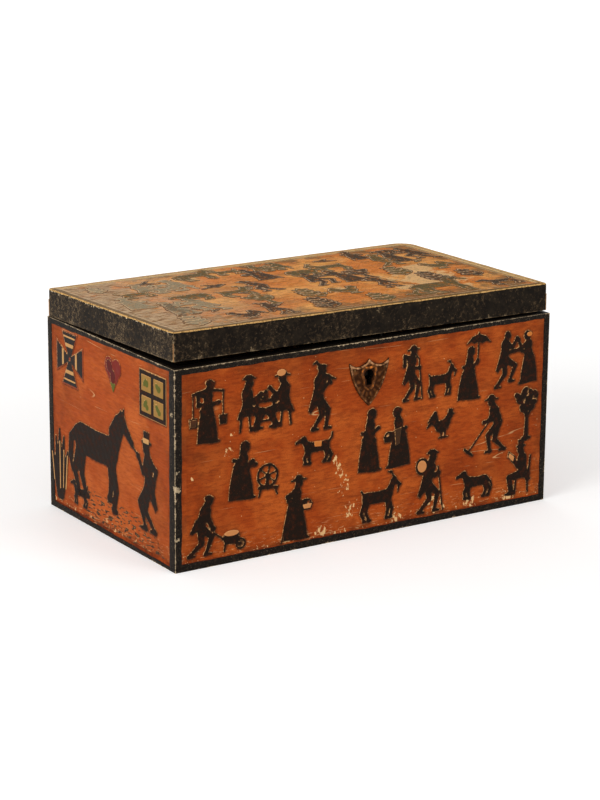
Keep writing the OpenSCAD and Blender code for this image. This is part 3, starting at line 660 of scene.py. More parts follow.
def edge_paper(half_w, widths, seed, on_face, hinged=False):
    """
    A closed ring round a face. Across the ring the points run from the inner edge of the paper over its face
    and round an arc of 0.5 mm to the line midway between the two faces, then back under the paper.
    Along each side the inner edge is the side's width, from its start to its end, plus a ripple.
    """
    turn = np.radians([0, 15, 30, 45])
    flat_round = paper_round - paper_t
    # For each point across: its share of the paper's width, what is added to that, and how far it stands out
    share = np.array([1, 1, 1, 0.66, 0.33, 0, 0, 0, 0, 0])
    plus = np.array([0, -0.03, -0.25, 0, 0.1, *(flat_round - paper_round * np.sin(turn)), 0.12])
    out = np.array(
        [paper_sunk, 0.12, paper_t, paper_t, paper_t, *(-flat_round + paper_round * np.cos(turn)), paper_sunk]
    )
    across, up, arris = [], [], []
    ends = np.array([[-half_w, 0.0], [half_w, 0.0], [half_w, box_h], [-half_w, box_h]])
    for side, (start_w, end_w) in enumerate(widths):
        length = np.abs(ends[(side + 1) % 4] - ends[side]).sum()
        part = np.linspace(0, 1, int(length / paper_spacing), endpoint=False)
        if hinged and side == 2:
            past = np.array([hinge_half_l + 0.05, hinge_half_l + 0.1])
            cuts = np.concatenate([x + s * past for x in (-hinge_x, hinge_x) for s in (-1, 1)])
            part = np.sort(np.append(part, (half_w - cuts) / length))
        fade = np.clip(np.minimum(part, 1 - part) * length / paper_wave_start, 0, 1)
        wave = ripple(part * length, seed + side) + 0.5 * ripple(part * length * 2.7, seed + side + 7)
        width = start_w + (end_w - start_w) * part + paper_wave * fade * wave
        inset = width[:, None] * share + plus
        start_inset = np.array(widths[side - 1][1]) * share + plus
        end_inset = np.array(widths[(side + 1) % 4][0]) * share + plus
        run = start_inset + (length - start_inset - end_inset) * part[:, None]
        if side == 0:
            place = (run - half_w, inset)
        elif side == 1:
            place = (half_w - inset, run)
        elif side == 2:
            place = (half_w - run, box_h - inset)
        else:
            place = (-half_w + inset, box_h - run)
        across.append(place[0])
        up.append(place[1])
        arris.append(inset)
    across, up, arris = (np.concatenate(values) for values in (across, up, arris))
    outs = np.broadcast_to(out, across.shape) + 0.02 * ripple(across * 1.7 + up * 2.3, seed) * (out > 0.15)
    if hinged:
        under_leaf = (np.abs(np.abs(across) - hinge_x) < hinge_half_l + 0.07) & (up > box_h - leaf_t - 0.1)
        outs = np.where(under_leaf, paper_sunk, outs)
    points = on_face(across, np.maximum(up, 0.0), outs).reshape(-1, 3)
    return points, outwards(points, woven(*across.shape)), arris


def paper_material(name, rub):
    """Black paper crazed and specked, rubbed brown near the corners of the box and bare along them."""
    material, made, shader = plain_material(name, Specular_IOR_Level=0.06)
    place = made.millimetres()
    arris = made.mark("arris")
    ragged = made.noise(place, 2.6, 5.0, 0.75)
    speckle = made.noise(place, 0.8, 4.0, 0.75, shift=(4, 4, 2))
    cloudy = made.noise(place, 16.0, 4.0, 0.6, shift=(8, 1, 6))
    reach = made.step(ragged, 0.4, 0.72, 0.0, 2.4) * made.step(cloudy, 0.38, 0.6, 0.2, 1.0)
    worn = made.fall(arris - reach, -0.3, 0.05)
    bare = reach * 0.5 - arris
    bare = made.step(bare, -0.1, 0.1) * made.step(speckle, 0.36, 0.56)
    tone = made.over(paper_black, paper_brown, ragged, 0.46, 0.7, rub)
    tone = made.over(tone, paper_grey, speckle, 0.56, 0.7, 0.75)
    tone = made.mix(worn * 0.75, tone, paper_brown)
    tone = made.mix(bare * 0.85, tone, paper_buff)
    tone = made.over(tone, paper_buff, speckle, 0.65, 0.72, 0.7)
    for spot, size in chipped_corners:
        far = made.distance(place, spot)
        chip = made.fall(far, 0.0, size) * made.step(ragged, 0.4, 0.6)
        tone = made.over(tone, paper_buff, chip, 0.34, 0.44, 0.62)
    relief = speckle + ragged * 2.0
    surface(made, shader, tone, made.step(speckle, 0.3, 0.7, 0.42, 0.6), relief - worn, 0.08)
    return material


edge_paper_material = paper_material("black_edge_paper", 0.4)
# The width of the paper at the start and end of each side: the bottom, up the right, the top, down the left
front_widths = [(5.5, 5.2), (5.2, 5.0), (3.5, 4.0), (5.7, 5.0)]
left_widths = [(4.9, 2.9), (8.0, 7.2), (2.2, 4.2), (6.2, 7.0)]
plain_widths = [(5.2, 5.0), (5.4, 5.0), (4.2, 4.6), (5.0, 5.4)]
for name, half_w, widths, seed, on_face, replaced in (
    ("front_edge_paper", box_half_w, front_widths, 1, on_front, "front_bands"),
    ("back_edge_paper", box_half_w, plain_widths, 2, on_back, "back_bands"),
    ("left_edge_paper", box_half_d, left_widths, 3, on_left, "left_bands"),
    ("right_edge_paper", box_half_d, plain_widths, 4, on_right, "right_bands"),
):
    points, faces, arris = edge_paper(half_w, widths, seed, on_face, name == "back_edge_paper")
    add_piece(name, points, faces, edge_paper_material, "box", [replaced], {"arris": arris})

# The rim paper
# The edge papers turn over the rim of the box for about 3 mm to a wavy edge.
# Under the hinge leaves they sink into the wood.
rim_reach = 3.2
rim_paper_t = 0.12
rim_round = 0.3
rim_spacing = 2.0


def plan_outline(left, right, front, back, radii, spacing):
    """
    Points round a rectangle seen from above, anticlockwise from the front left, with a quarter circle of its
    own radius at each corner, and the way straight out at each point.
    """
    spots, ways = [], []
    middles = [(left, front, 180), (right, front, 270), (right, back, 0), (left, back, 90)]
    inward = [(1, 1), (-1, 1), (-1, -1), (1, -1)]
    for at in range(4):
        x, y, start = middles[at]
        turn = np.radians(np.linspace(start, start + 90, max(5, int(radii[at] * 2))))
        way = np.stack([np.cos(turn), np.sin(turn)], -1)
        centre = np.array([x, y]) + np.array(inward[at]) * radii[at]
        spots.append(centre + radii[at] * way)
        ways.append(way)
        x2, y2, _ = middles[(at + 1) % 4]
        after = np.array([x2, y2]) + np.array(inward[(at + 1) % 4]) * radii[(at + 1) % 4]
        goal = after + radii[(at + 1) % 4] * way[-1]
        part = np.linspace(0, 1, int(np.hypot(*(goal - spots[-1][-1])) / spacing))[1:-1, None]
        spots.append(spots[-1][-1] + (goal - spots[-1][-1]) * part)
        ways.append(np.broadcast_to(way[-1], (len(part), 2)))
    return np.concatenate(spots), np.concatenate(ways)


spots, ways = plan_outline(-box_half_w, box_half_w, -box_half_d, box_half_d, [rim_round] * 4, rim_spacing)
along = np.arange(len(spots)) * rim_spacing
reach = rim_reach + 0.5 * ripple(along, 5)
# Across the paper: the share of its reach, what is added to that, and the height above the rim
share = np.array([0, 0, 0, 0, 0.5, 1, 1, 0])
plus = np.array([-0.1, -0.12, -0.06, 0.1, 0, 0, 0.06, 0.3])
level = np.array([-0.4, -0.1, 0.06, rim_paper_t, rim_paper_t, rim_paper_t - 0.02, paper_sunk, -0.4])
inset = reach[:, None] * share + plus
flat = spots[:, None] - ways[:, None] * inset[..., None]
height = np.broadcast_to(box_h + level, inset.shape)
under_leaf = (np.abs(np.abs(flat[..., 0]) - hinge_x) < hinge_half_l + 1) & (flat[..., 1] > box_half_d - 8)
height = np.where(under_leaf, box_h - 0.5, height)
points = np.concatenate([flat, height[..., None]], -1).reshape(-1, 3)
faces = outwards(points, woven(*inset.shape))
add_piece("rim_paper", points, faces, edge_paper_material, "box", [], {"arris": inset * 3})

# The lid
# A softwood board on four mitred rails, decorated on top and varnished, its sides papered black.
# The board has warped, so that the front left corner stands up from the box more than the right one does.
lid_half_w = 159.0
lid_front_y = -88.5
lid_back_y = 91.5
lid_low_z = 144.2
lid_board_low_z = 156.7
lid_top_z = 164.7
lid_radii = (1.2, 1.5, 14.0, 2.0)
lid_twist = 3.2
lid_spacing = 1.6
lid_side_mid_z = 160.5
lid_arris_r = 0.9
lid_arris_wave = 0.35
axis_y = 94.0
axis_z = 144.1
lid_ajar = math.radians(-[j for j in frame["joints"] if j["name"] == "lid_hinge"][0]["range_deg"][0])


def twisted(points, lifted=1.0):
    """Raises a point of the shut lid in step with how far it stands from the right end and from the back."""
    across = (lid_half_w - points[..., 0]) / (2 * lid_half_w)
    forward = (lid_back_y - points[..., 1]) / (lid_back_y - lid_front_y)
    raised = points.copy()
    raised[..., 2] += lid_twist * across * forward * lifted
    return raised


def tipped(points, angle):
    """Turns points about the hinge pins, the front going up."""
    y, z = points[..., 1] - axis_y, points[..., 2] - axis_z
    turned = points.copy()
    turned[..., 1] = axis_y + y * math.cos(angle) + z * math.sin(angle)
    turned[..., 2] = axis_z + z * math.cos(angle) - y * math.sin(angle)
    return turned


spots, ways = plan_outline(-lid_half_w, lid_half_w, lid_front_y, lid_back_y, lid_radii, lid_spacing)
along = np.concatenate([[0], np.cumsum(np.hypot(*np.diff(spots, axis=0).T))])
spine_half = lid_half_w - (lid_back_y - lid_front_y) / 2
spine = np.stack([np.clip(spots[:, 0], -spine_half, spine_half), np.full(len(spots), 1.5)], -1)
turn = np.radians([0, 18, 36, 54, 72, 90])
worn_round = lid_arris_r + lid_arris_wave * ripple(along, 7)[:, None]
# Rings of points run from the spine of the underside out to its edge, up the side, round the worn arris and
# back over the top. Each ring keeps a share of the way from the spine and stands in from the side by its
# inset.
share = np.array([0, 0.4, 0.8, 1, 1, 1, *np.ones(6), 0.985, 0.96, 0.9, 0.8, 0.65, 0.45, 0.22, 0])
inset = np.zeros((len(spots), len(share)))
inset[:, 3] = 0.3
inset[:, 6:12] = worn_round * (1 - np.cos(turn))
inset[:, 12:] = worn_round
height = np.full(inset.shape, lid_top_z)
height[:, :4] = lid_board_low_z
height[:, 4] = lid_board_low_z + 0.3
height[:, 5] = lid_side_mid_z
height[:, 6:12] = lid_top_z - worn_round * (1 - np.sin(turn))
rim = spots[:, None] - ways[:, None] * inset[..., None]
inside = spine[:, None] + (rim - spine[:, None]) * share[:, None]
height[:, 12:-1] += 0.1 * ripple(inside[:, 12:-1, 0] * 0.6 + inside[:, 12:-1, 1], 9) - 0.05
points = np.concatenate([inside, height[..., None]], -1)
rows, columns = inset.shape
at = np.arange(rows * columns).reshape(rows, columns)
after = np.roll(at, -1, 0)
faces = np.stack([at[:, :-1], after[:, :-1], after[:, 1:], at[:, 1:]], -1).reshape(-1, 4)
lid_points = tipped(twisted(points.reshape(-1, 3)), lid_ajar)
lid_faces = outwards(lid_points, faces)

# The lid's top
# Painted orange in streaks under a thick varnish, which has gone olive, wrinkled, and torn away in places.
# Dark and pale lines run round it inside a margin, and the board has cracked from the front to its middle.
lid_ground = srgb(220, 125, 42)
lid_light = srgb(238, 166, 84)
lid_dark = srgb(146, 80, 30)
lid_olive = srgb(112, 84, 44)
lid_sheen_grey = srgb(198, 164, 124)
lid_stain = srgb(56, 38, 21)
lid_buff = srgb(216, 170, 102)
lid_line = srgb(224, 196, 152)
lid_gold = srgb(214, 168, 104)
lid_crack = srgb(44, 30, 20)
torn_buff = srgb(222, 176, 118)
lid_margin = 4.6
# Where the top layer has torn away: across from the middle, back, and the size of the patch
torn_patches = [(92, -30, 40), (108, 6, 22), (66, -50, 18), (-60, 64, 14), (14, -30, 12)]
# A crack in the top runs from front to back here: its middle, its slope, and its two ends
split_x = 61.0
split_slope = 0.24
split_ends = (-86.0, 0.0)


def lid_top_material():
    """
    Varnish gone gold over a painted top. It is olive where it is soiled, grey on the left third with a
    painted sheen, wrinkled all over, torn to the buff in places and cracked once. Dark and pale lines run
    round it inside a margin, and its arrises are bare.
    """
    material, made, shader = plain_material("varnished_lid_top", Specular_IOR_Level=0.01)
    place = made.millimetres()
    parts = made.apart(place)
    paint = brushed_coat(made, place, brushed_x, lid_ground, lid_light, lid_dark)
    from_right = lid_half_w - parts[0]
    from_left = lid_half_w + parts[0]
    from_front = parts[1] - lid_front_y
    from_back = lid_back_y - parts[1]
    from_edge = least(from_left, from_right, from_front, from_back)
    drift = (made.noise(place, 18.0, 4.0) - 0.5) * 3.0
    inside = from_edge + drift
    soil = made.noise(place, 16.0, 5.0, 0.7, shift=(3, 9, 1))
    crumbs = made.noise(place, 1.6, 4.0, 0.75, shift=(9, 2, 3))
    # Olive soil, most of it near the edges, and a grey painted sheen on the left third
    margin = most(made.fall(from_front, 6.0, 48.0, 0.23), made.fall(from_left, 10.0, 90.0, 0.3))
    margin = most(margin, made.fall(least(from_right, from_back), 8.0, 34.0, 0.2))
    olive = made.step(soil + margin, 0.58, 0.78, 0.0, 0.8)
    tone = made.mix(olive, paint["Colour"], lid_olive)
    painted_sheen = made.fall(from_left, 0.0, 150.0, 0.85)
    streaks = made.noise(made.stretched(place, brushed_x), 1.6, 4.0)
    tone = made.mix(painted_sheen * made.step(streaks, 0.38, 0.56), tone, lid_sheen_grey)
    # Torn patches, paler than the varnish round them
    for across, up, size in torn_patches:
        far = made.distance(place, (across, up, 166.0)) + (soil - 0.5) * (size * 2.6) + (crumbs - 0.5) * 7.0
        tone = made.mix(made.fall(far, size * 0.6, size * 0.66, 0.9), tone, torn_buff)
    # Wrinkles: thin dark lines where a stretched noise crosses its middle
    swept = made.stretched(place, (0.45, 1.0, 1.0))
    fold = made.noise(swept, 5.0, 4.0, 0.6, shift=(2, 8, 6))
    fold = made.fall(abs(fold - 0.5), 0.004, 0.02)
    tone = made.mix(fold * 0.55, tone, lid_stain)
    tone = made.over(tone, lid_line, crumbs, 0.6, 0.7, 0.5)
    # The margin is buff along the right and the back, and brown along the front and the left
    beyond = least(from_right, from_back)
    bright_side = made.fall(beyond - from_edge, 0.0, 0.6)
    reach = bright_side * 4.0 + (lid_margin - 0.4)
    strip_colour = made.mix(bright_side * made.step(crumbs, 0.3, 0.5), lid_olive, lid_buff)
    strip = made.fall(inside - reach, -0.4, 0.0, 0.9)
    tone = made.mix(strip * made.step(crumbs, 0.26, 0.42), tone, strip_colour)
    clear = made.step(soil, 0.36, 0.52, 0.35, 1.0) * made.step(crumbs, 0.38, 0.54)
    clear = clear * made.step(bright_side, 0.0, 1.0, 0.6, 1.0)
    for inset, half_w, colour, strength in (
        (1.0, 0.3, lid_stain, 0.8),
        (lid_margin - 0.6, 0.4, lid_stain, 0.95),
        (lid_margin + 0.5, 0.5, lid_line, 0.8),
        (lid_margin + 4.0, 0.4, lid_stain, 0.8),
        (lid_margin + 4.9, 0.45, lid_line, 0.6),
    ):
        line = abs(inside - inset)
        line = made.fall(line, half_w, half_w + 0.4, strength) * clear
        tone = made.mix(line, tone, colour)
    arris = made.fall(from_edge, 0.35, 0.9)
    tone = made.mix(arris, tone, made.over(lid_olive, lid_gold, crumbs, 0.38, 0.54))
    # The crack
    wander = (made.noise(place, 12.0, 2.0) - 0.5) * 5.0
    off_split = abs(parts[0] + parts[1] * split_slope + wander - split_x)
    split = made.fall(off_split, 0.3, 0.8) * made.step(parts[1], split_ends[0], split_ends[0] + 6)
    split = split * made.fall(parts[1], split_ends[1] - 6, split_ends[1])
    tone = made.mix(split * 0.9, tone, lid_crack)
    relief = paint["Height"] + line * 0.9 - (split * 4.0 + fold)
    # The underside is bare wood
    wood = bare_wood(made, place, along_x)
    under = made.mark("under")
    relief = made.out(0, "Mix", {0: under, 2: relief, 3: wood["Height"]}, data_type="FLOAT")
    surface(made, shader, made.mix(under, tone, wood["Colour"]), paint["Roughness"] - 0.04, relief, 0.06)
    return material


def merge_points(mesh):
    """Joins the points of a mesh that lie in the same place."""
    shape = bmesh.new()
    shape.from_mesh(mesh)
    bmesh.ops.remove_doubles(shape, verts=shape.verts, dist=1e-6)
    shape.to_mesh(mesh)
    shape.free()


lid_material = lid_top_material()
under = np.zeros(inset.shape)
under[:, :4] = 1.0
marks = {"under": under}
panel = add_piece(
    "lid_panel", lid_points, lid_faces, lid_material, "lid", ["lid_board"], marks
)
merge_points(panel.data)

# The lid's side paper
# Black paper pasted round the lid's sides, from just above the rim to the worn arris at the top.
# It is cut away over the hinge leaves, and the corners and the lower edge have worn to the buff.
skin_h = 19.6
skin_black = srgb(20, 15, 10)
skin_grey = srgb(34, 27, 19)
skin_brown = srgb(68, 54, 38)
skin_buff = srgb(150, 128, 98)
skin_cream = srgb(222, 200, 164)

# Round the paper: how far each point stands out, and its height above the lid's lower edge
share_out = np.array(
    [paper_sunk, 0.14, paper_t, paper_t, paper_t, paper_t, paper_t, 0.12, paper_sunk, paper_sunk]
)
level = np.array([0.02, 0.02, 0.2, 4.0, 8.0, 13.0, 18.0, 19.5, skin_h, 10.0])
upper = 0.3 * ripple(along, 11)[:, None] * np.array([0, 0, 0, 0, 0, 0, 1, 1, 1, 0])
outs = np.broadcast_to(share_out, upper.shape) + 0.05 * ripple(along * 1.3, 3)[:, None] * (share_out > 0.19)
height = lid_low_z + level + upper
flat = spots[:, None] + ways[:, None] * outs[..., None]
under_leaf = (np.abs(np.abs(flat[..., 0]) - hinge_x) < hinge_half_l + 1) & (flat[..., 1] > box_half_d - 1)
lift = np.where(under_leaf, np.maximum(height, lid_low_z + leaf_t + 0.05), height)
points = np.concatenate([flat, lift[..., None]], -1).reshape(-1, 3)
faces = outwards(points, woven(*upper.shape))
low_by = np.broadcast_to(level, upper.shape)


def lid_side_material():
    """
    Black paper with brown clouds and pale flecks. It is greyer and more rubbed on the left end, where a
    painted sheen stands for the light that falls on it, worn to the buff in patches along its lower edge, and
    to the cream core at the two front corners and along the top of the left end.
    """
    material, made, shader = plain_material("black_lid_paper", Specular_IOR_Level=0.045)
    place = made.millimetres()
    parts = made.apart(place)
    low = made.mark("low")
    high = made.mark("high")
    grain = made.noise(place, 0.7, 3.0, 0.75)
    mottle = made.noise(place, 2.4, 5.0, 0.72, shift=(2, 2, 7))
    blot = made.noise(place, 7.0, 5.0, 0.65, shift=(6, 3, 1))
    cloud = made.noise(place, 36.0, 3.0, shift=(5, 0, 2))
    # The left end: greyer there by a painted sheen for the light that falls on it, and chipped to the cream
    # along its top
    left = made.fall(parts[0], -lid_half_w - 0.6, -lid_half_w + 0.4)
    rub = left * 0.075 + made.fall(low, 0.0, 4.0) * 0.03 + made.step(cloud, 0.38, 0.62, -0.035, 0.02)
    tone = made.over(skin_black, skin_grey, blot, 0.4, 0.65)
    tone = made.over(tone, skin_brown, mottle + rub, 0.5, 0.66, 0.85)
    tone = made.over(tone, skin_buff, grain * 0.6 + mottle * 0.4 + rub, 0.6, 0.68, 0.7)
    # Worn patches along the lower edge, a few on the face, and cream along the arrises
    worn = made.step(blot - low * 0.028, 0.55, 0.6, 0.0, 0.7)
    tone = made.mix(worn * made.step(mottle, 0.42, 0.56), tone, skin_buff)
    scar = made.step(blot, 0.68, 0.71, 0.0, 0.55) * made.step(mottle, 0.46, 0.6)
    tone = made.mix(scar, tone, skin_buff)
    aside = abs(parts[0]) - (lid_half_w - 0.3)
    ahead = parts[1] - (lid_front_y + 0.3)
    corner = made.math("SQRT", made.math("POWER", aside, 2.0) + made.math("POWER", ahead, 2.0))
    corner = made.step(blot, 0.4, 0.68, 0.3, 1.3) - corner
    corner = made.step(corner, -0.15, 0.15) * made.step(mottle, 0.42, 0.54)
    tone = made.mix(corner * 0.6, tone, skin_buff)
    chipped = left * made.step(mottle, 0.5, 0.66, 0.0, 2.6) - high
    tone = made.mix(made.step(chipped, -0.1, 0.3) * 0.85, tone, skin_cream)
    edge = made.fall(low, 0.1, 0.5, 0.7) * made.step(blot, 0.44, 0.6)
    tone = made.mix(edge, tone, skin_buff)
    relief = mottle + grain * 0.5
    surface(made, shader, tone, made.step(mottle, 0.3, 0.7, 0.42, 0.62), relief, 0.1)
    return material


points = tipped(twisted(points), lid_ajar)
marks = {"low": low_by, "high": skin_h - low_by}
add_piece(
    "lid_side_skin", points, faces, lid_side_material(), "lid", ["lid_side_paper"], marks
)

# The rails
# Four softwood rails under the lid's board, mitred at the corners and glued, stained black below and outside.
# They have warped with the board.


def twisted_copy(name, material, lifted=None):
    """
    A copy of one of the lid's nodes that stands for it, twisted as the lid's board is, or by the share of
    that which lifted gives for each point.
    """
    mesh = nodes[name].data.copy()
    piece = new_object("twisted_" + name, mesh)
    merge_points(mesh)
    places = np.empty(len(mesh.vertices) * 3)
    mesh.vertices.foreach_get("co", places)
    shut = tipped(places.reshape(-1, 3) * 1000, -lid_ajar)
    amount = 1.0 if lifted is None else lifted(shut)
    mesh.vertices.foreach_set("co", (tipped(twisted(shut, amount), lid_ajar) / 1000).ravel())
    mesh.shade_flat()
    ways = np.empty(len(mesh.polygons) * 3)
    mesh.polygons.foreach_get("normal", ways)
    below = (ways.reshape(-1, 3)[:, 2] < -0.7).astype(np.float32)
    mesh.attributes.new("below", "FLOAT", "FACE").data.foreach_set("value", below)
    mesh.materials.clear()
    mesh.materials.append(material)
    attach(piece, "lid")
    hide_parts(name)


def rail_material(name, along):
    """A rail stained black below and outside, and bare inside the lid."""
    material, made, shader = plain_material(name, Specular_IOR_Level=0.3)
    place = made.millimetres()
    wood = bare_wood(made, place, along)
    rub = made.noise(place, 2.2, 5.0, 0.72)
    below = made.mark("below")
    black = below * made.step(rub, 0.6, 0.72, 1.0, 0.6)
    surface(
        made, shader, made.mix(black, wood["Colour"], paper_black), wood["Roughness"], wood["Height"], 0.08
    )
    return material


rail_along_x = rail_material("rail_front_and_back", along_x)
rail_along_y = rail_material("rail_ends", along_y)
for name, material in zip(("front", "back", "left", "right"), [rail_along_x] * 2 + [rail_along_y] * 2):
    twisted_copy("lid_" + name + "_rail", material)

# The hinges
# Two plain brass butt hinges let in flush to the rim and the lid, each on a pin riveted over at its ends.
# Their leaves are dull and brown in the hollows, with old slotted screws.
hinge_brass = metal_material("aged_brass", srgb(176, 142, 84), srgb(92, 68, 40), 0.55)
for side in ("left", "right"):
    finish_nodes(hinge_brass, side + "_hinge_body_leaf", side + "_hinge_lid_leaf", side + "_hinge_pin")
finish_nodes(hinge_brass, "body_leaf_screws", "lid_leaf_screws")

# The lock
# A steel box lock let into the front board, its bolt sliding on two studs under a flat spring.
# The link plate under the lid holds two staples that the bolt's hooks pass through.
lock_steel = metal_material("lock_steel", srgb(86, 78, 70), srgb(38, 31, 25), 0.72)
lock_parts = ["lock_plate", "lock_case", "guide_studs", "bolt_spring", "lock_bolt", "lock_screws"]
finish_nodes(lock_steel, *lock_parts)
# The key pin and ward are painted near black, as the shade inside the keyhole.
finish_nodes(metal_material("keyhole_shade_steel", srgb(38, 33, 28), srgb(18, 15, 12), 0.8), "key_pin", "key_ward")
twisted_copy("link_plate", lock_steel)
twisted_copy("link_screws", lock_steel)


def staple_lift(shut):
    """The staples' feet rise with the lid, and their eyes stay where the bolt needs them."""
    return (shut[:, 2] > lid_low_z - 1).astype(float)


# The staples are painted near black, as the shade in the gap under the lid that they stand in.
staple_metal = metal_material("staples_in_gap_shade", srgb(30, 27, 24), srgb(14, 12, 10), 0.8)
twisted_copy("link_staples", staple_metal, staple_lift)

# The shield
# A shield stamped from thin brass and pinned over the keyhole, with a rounded rim and an inner frame
# that have worn bright, and a sunk ground between them that has stayed dark. Its upper part carries a painted
# highlight.
lock_x = -1.5
keyhole_z = 119.4
keyhole_r = 3.9
keyhole_slot_w = 4.4
keyhole_slot_l = 7.4
shield_half_w = 17.0
shield_tip_up = 10.6
shield_peak_up = 12.0
shield_point_down = 22.8
shield_bulge = 3.6
shield_hollow = 4.4
shield_ground_t = 0.6
shield_rim_t = 1.4
shield_rim_w = 1.9
shield_frame_top = 5.3
shield_frame_foot = 10.3
shield_frame_half_w = 5.4
shield_frame_taper = 0.194
shield_frame_w = 2.4
shield_frame_round = 3.2
shield_step = 0.3
shield_area = ((-19.0, -24.0), (19.0, 13.5))
# The shield is rubbed more, with a painted highlight, from the first height to the second
shield_rub_and_highlight = (119.0, 128.0)


def arc_between(start, end, bulge):
    """The centre and radius of the arc from start to end that bulges to the right of the way between them."""
    chord = end - start
    length = np.hypot(*chord)
    radius = (length**2 / 4 + bulge**2) / (2 * bulge)
    left = np.array([-chord[1], chord[0]]) / length
    return (start + end) / 2 + left * (radius - bulge), abs(radius)


def shield_distance(u, v):
    """How far outside the shield a place is: the most of its distances from the sides, top and hollows."""
    tip = np.array([shield_half_w, shield_tip_up])
    point = np.array([0.0, -shield_point_down])
    peak = np.array([0.0, shield_peak_up])
    side, side_r = arc_between(point, tip, shield_bulge)
    top, top_r = arc_between(tip, peak, -shield_hollow)
    far = np.maximum(np.hypot(u - side[0], v - side[1]), np.hypot(u + side[0], v - side[1])) - side_r
    near = top_r - np.minimum(np.hypot(u - top[0], v - top[1]), np.hypot(u + top[0], v - top[1]))
    return np.maximum(np.maximum(far, near), v - shield_peak_up)


def keyhole_distance(u, v):
    """How far outside the keyhole a place is: the least of its distances from a circle and a slot."""
    slot = np.maximum(np.abs(u) - keyhole_slot_w / 2, np.maximum(v, -v - keyhole_slot_l))
    return np.minimum(np.hypot(u, v) - keyhole_r, slot)


def cut_sheet(distance, low, high, step, height, sunk):
    """
    A sheet with a cut outline. Grid points within half a step of the inside of the outline are kept, and
    those at its edge slide down the slope of the distance to the outline. The sheet's face stands at height,
    its back at sunk, and walls join them. Returns points, faces, how far each point stands in from the edge,
    and how far the edge near it looks up and to the left.
    """
    u, v = np.meshgrid(np.arange(low[0], high[0], step), np.arange(low[1], high[1], step), indexing="ij")
    far = distance(u, v)
    keep = far < 0.5 * step
    cell = keep[:-1, :-1] & keep[1:, :-1] & keep[:-1, 1:] & keep[1:, 1:]
    round_cell = np.pad(cell, 1)
    count = round_cell[:-1, :-1].astype(int) + round_cell[1:, :-1] + round_cell[:-1, 1:] + round_cell[1:, 1:]
    edge = (count > 0) & (count < 4)
    slope_u, slope_v = np.gradient(far, step)
    steep = np.maximum(slope_u**2 + slope_v**2, 0.35)
    slide = np.where(edge, np.clip(far / steep, -step, step), 0.0)
    u = u - slide * slope_u
    v = v - slide * slope_v
    number = np.full(u.shape, -1)
    number[count > 0] = np.arange((count > 0).sum())
    total = (count > 0).sum()
    inset = np.where(edge, 0.0, -far)[count > 0]
    looks = ((0.8 * slope_v - 0.6 * slope_u) / np.sqrt(steep))[count > 0]
    top = np.stack([u[count > 0], v[count > 0], height(u, v, np.where(edge, 0.0, -far))[count > 0]], -1)
    back = top.copy()
    back[:, 2] = sunk
    corners = [number[:-1, :-1], number[1:, :-1], number[1:, 1:], number[:-1, 1:]]
    front_faces = np.stack([c[cell] for c in corners], -1)
    beside = (round_cell[1:-1, :-2], round_cell[2:, 1:-1], round_cell[1:-1, 2:], round_cell[:-2, 1:-1])
    walls = []
    for side in range(4):
        bare = cell & ~beside[side]
        a = corners[side][bare]
        b = corners[(side + 1) % 4][bare]
        walls.append(np.stack([b, a, a + total, b + total], -1))
    faces = np.concatenate([front_faces, front_faces[:, ::-1] + total, *walls])
    return np.concatenate([top, back]), faces, np.tile(inset, 2), np.tile(looks, 2)


def frame_distance(u, v):
    """
    How far outside the frame's middle line a place is: its distance from a tapered box with rounded corners,
    which two sines have pulled out of true.
    """
    u = u + 0.35 * np.sin(v * 0.8 + 1.0) + 0.15 * np.sin(v * 2.1)
    v = v + 0.3 * np.sin(u * 0.9 + 2.0)
    side = (np.abs(u) - shield_frame_taper * v - shield_frame_half_w) / math.hypot(1, shield_frame_taper)
    side = side + shield_frame_round
    end = np.maximum(v - shield_frame_top, -v - shield_frame_foot) + shield_frame_round
    beyond = np.hypot(np.maximum(side, 0), np.maximum(end, 0))
    return beyond + np.minimum(np.maximum(side, end), 0) - shield_frame_round


def shield_height(u, v, _):
    """The ground, raised by half circles along the rim and the frame, and by ribs between them."""
    across_rim = np.clip((-shield_distance(u, v) - shield_rim_w / 2) / (shield_rim_w * 0.56), -1, 1)
    across_frame = np.clip(frame_distance(u, v) / (shield_frame_w * 0.52), -1, 1)
    dented = 0.72 + 0.28 * np.sin(u * 1.1 + v * 0.6) * np.sin(v * 0.9 - u * 0.5 + 1.0)
    bead = dented * np.maximum(np.sqrt(1 - across_rim**2), 0.95 * np.sqrt(1 - across_frame**2))
    between = np.clip(frame_distance(u, v) / 2 - 0.6, 0, 1)
    rib = 0.5 + 0.5 * np.sin(np.arctan2(v + 6.0, np.abs(u) + 0.3) * 13.0 + 0.5 * np.sin(u * 0.9))
    raised = np.maximum(bead, 0.45 * rib * between)
    return shield_ground_t + (shield_rim_t - shield_ground_t) * raised


def shield_field(u, v):
    """How far outside the metal a place is."""
    return np.maximum(shield_distance(u, v), -keyhole_distance(u, v))


sheet, faces, _, _ = cut_sheet(shield_field, *shield_area, shield_step, shield_height, 0.0)
points = on_front(sheet[:, 0] + lock_x, sheet[:, 1] + keyhole_z, sheet[:, 2])
shield_material, made, shader = plain_material("pressed_brass_shield", Metallic=1.0)
place = made.millimetres()
aged = old_metal(made, place, srgb(120, 72, 36), srgb(54, 32, 18), 0.68)
raised = made.mark("raised")
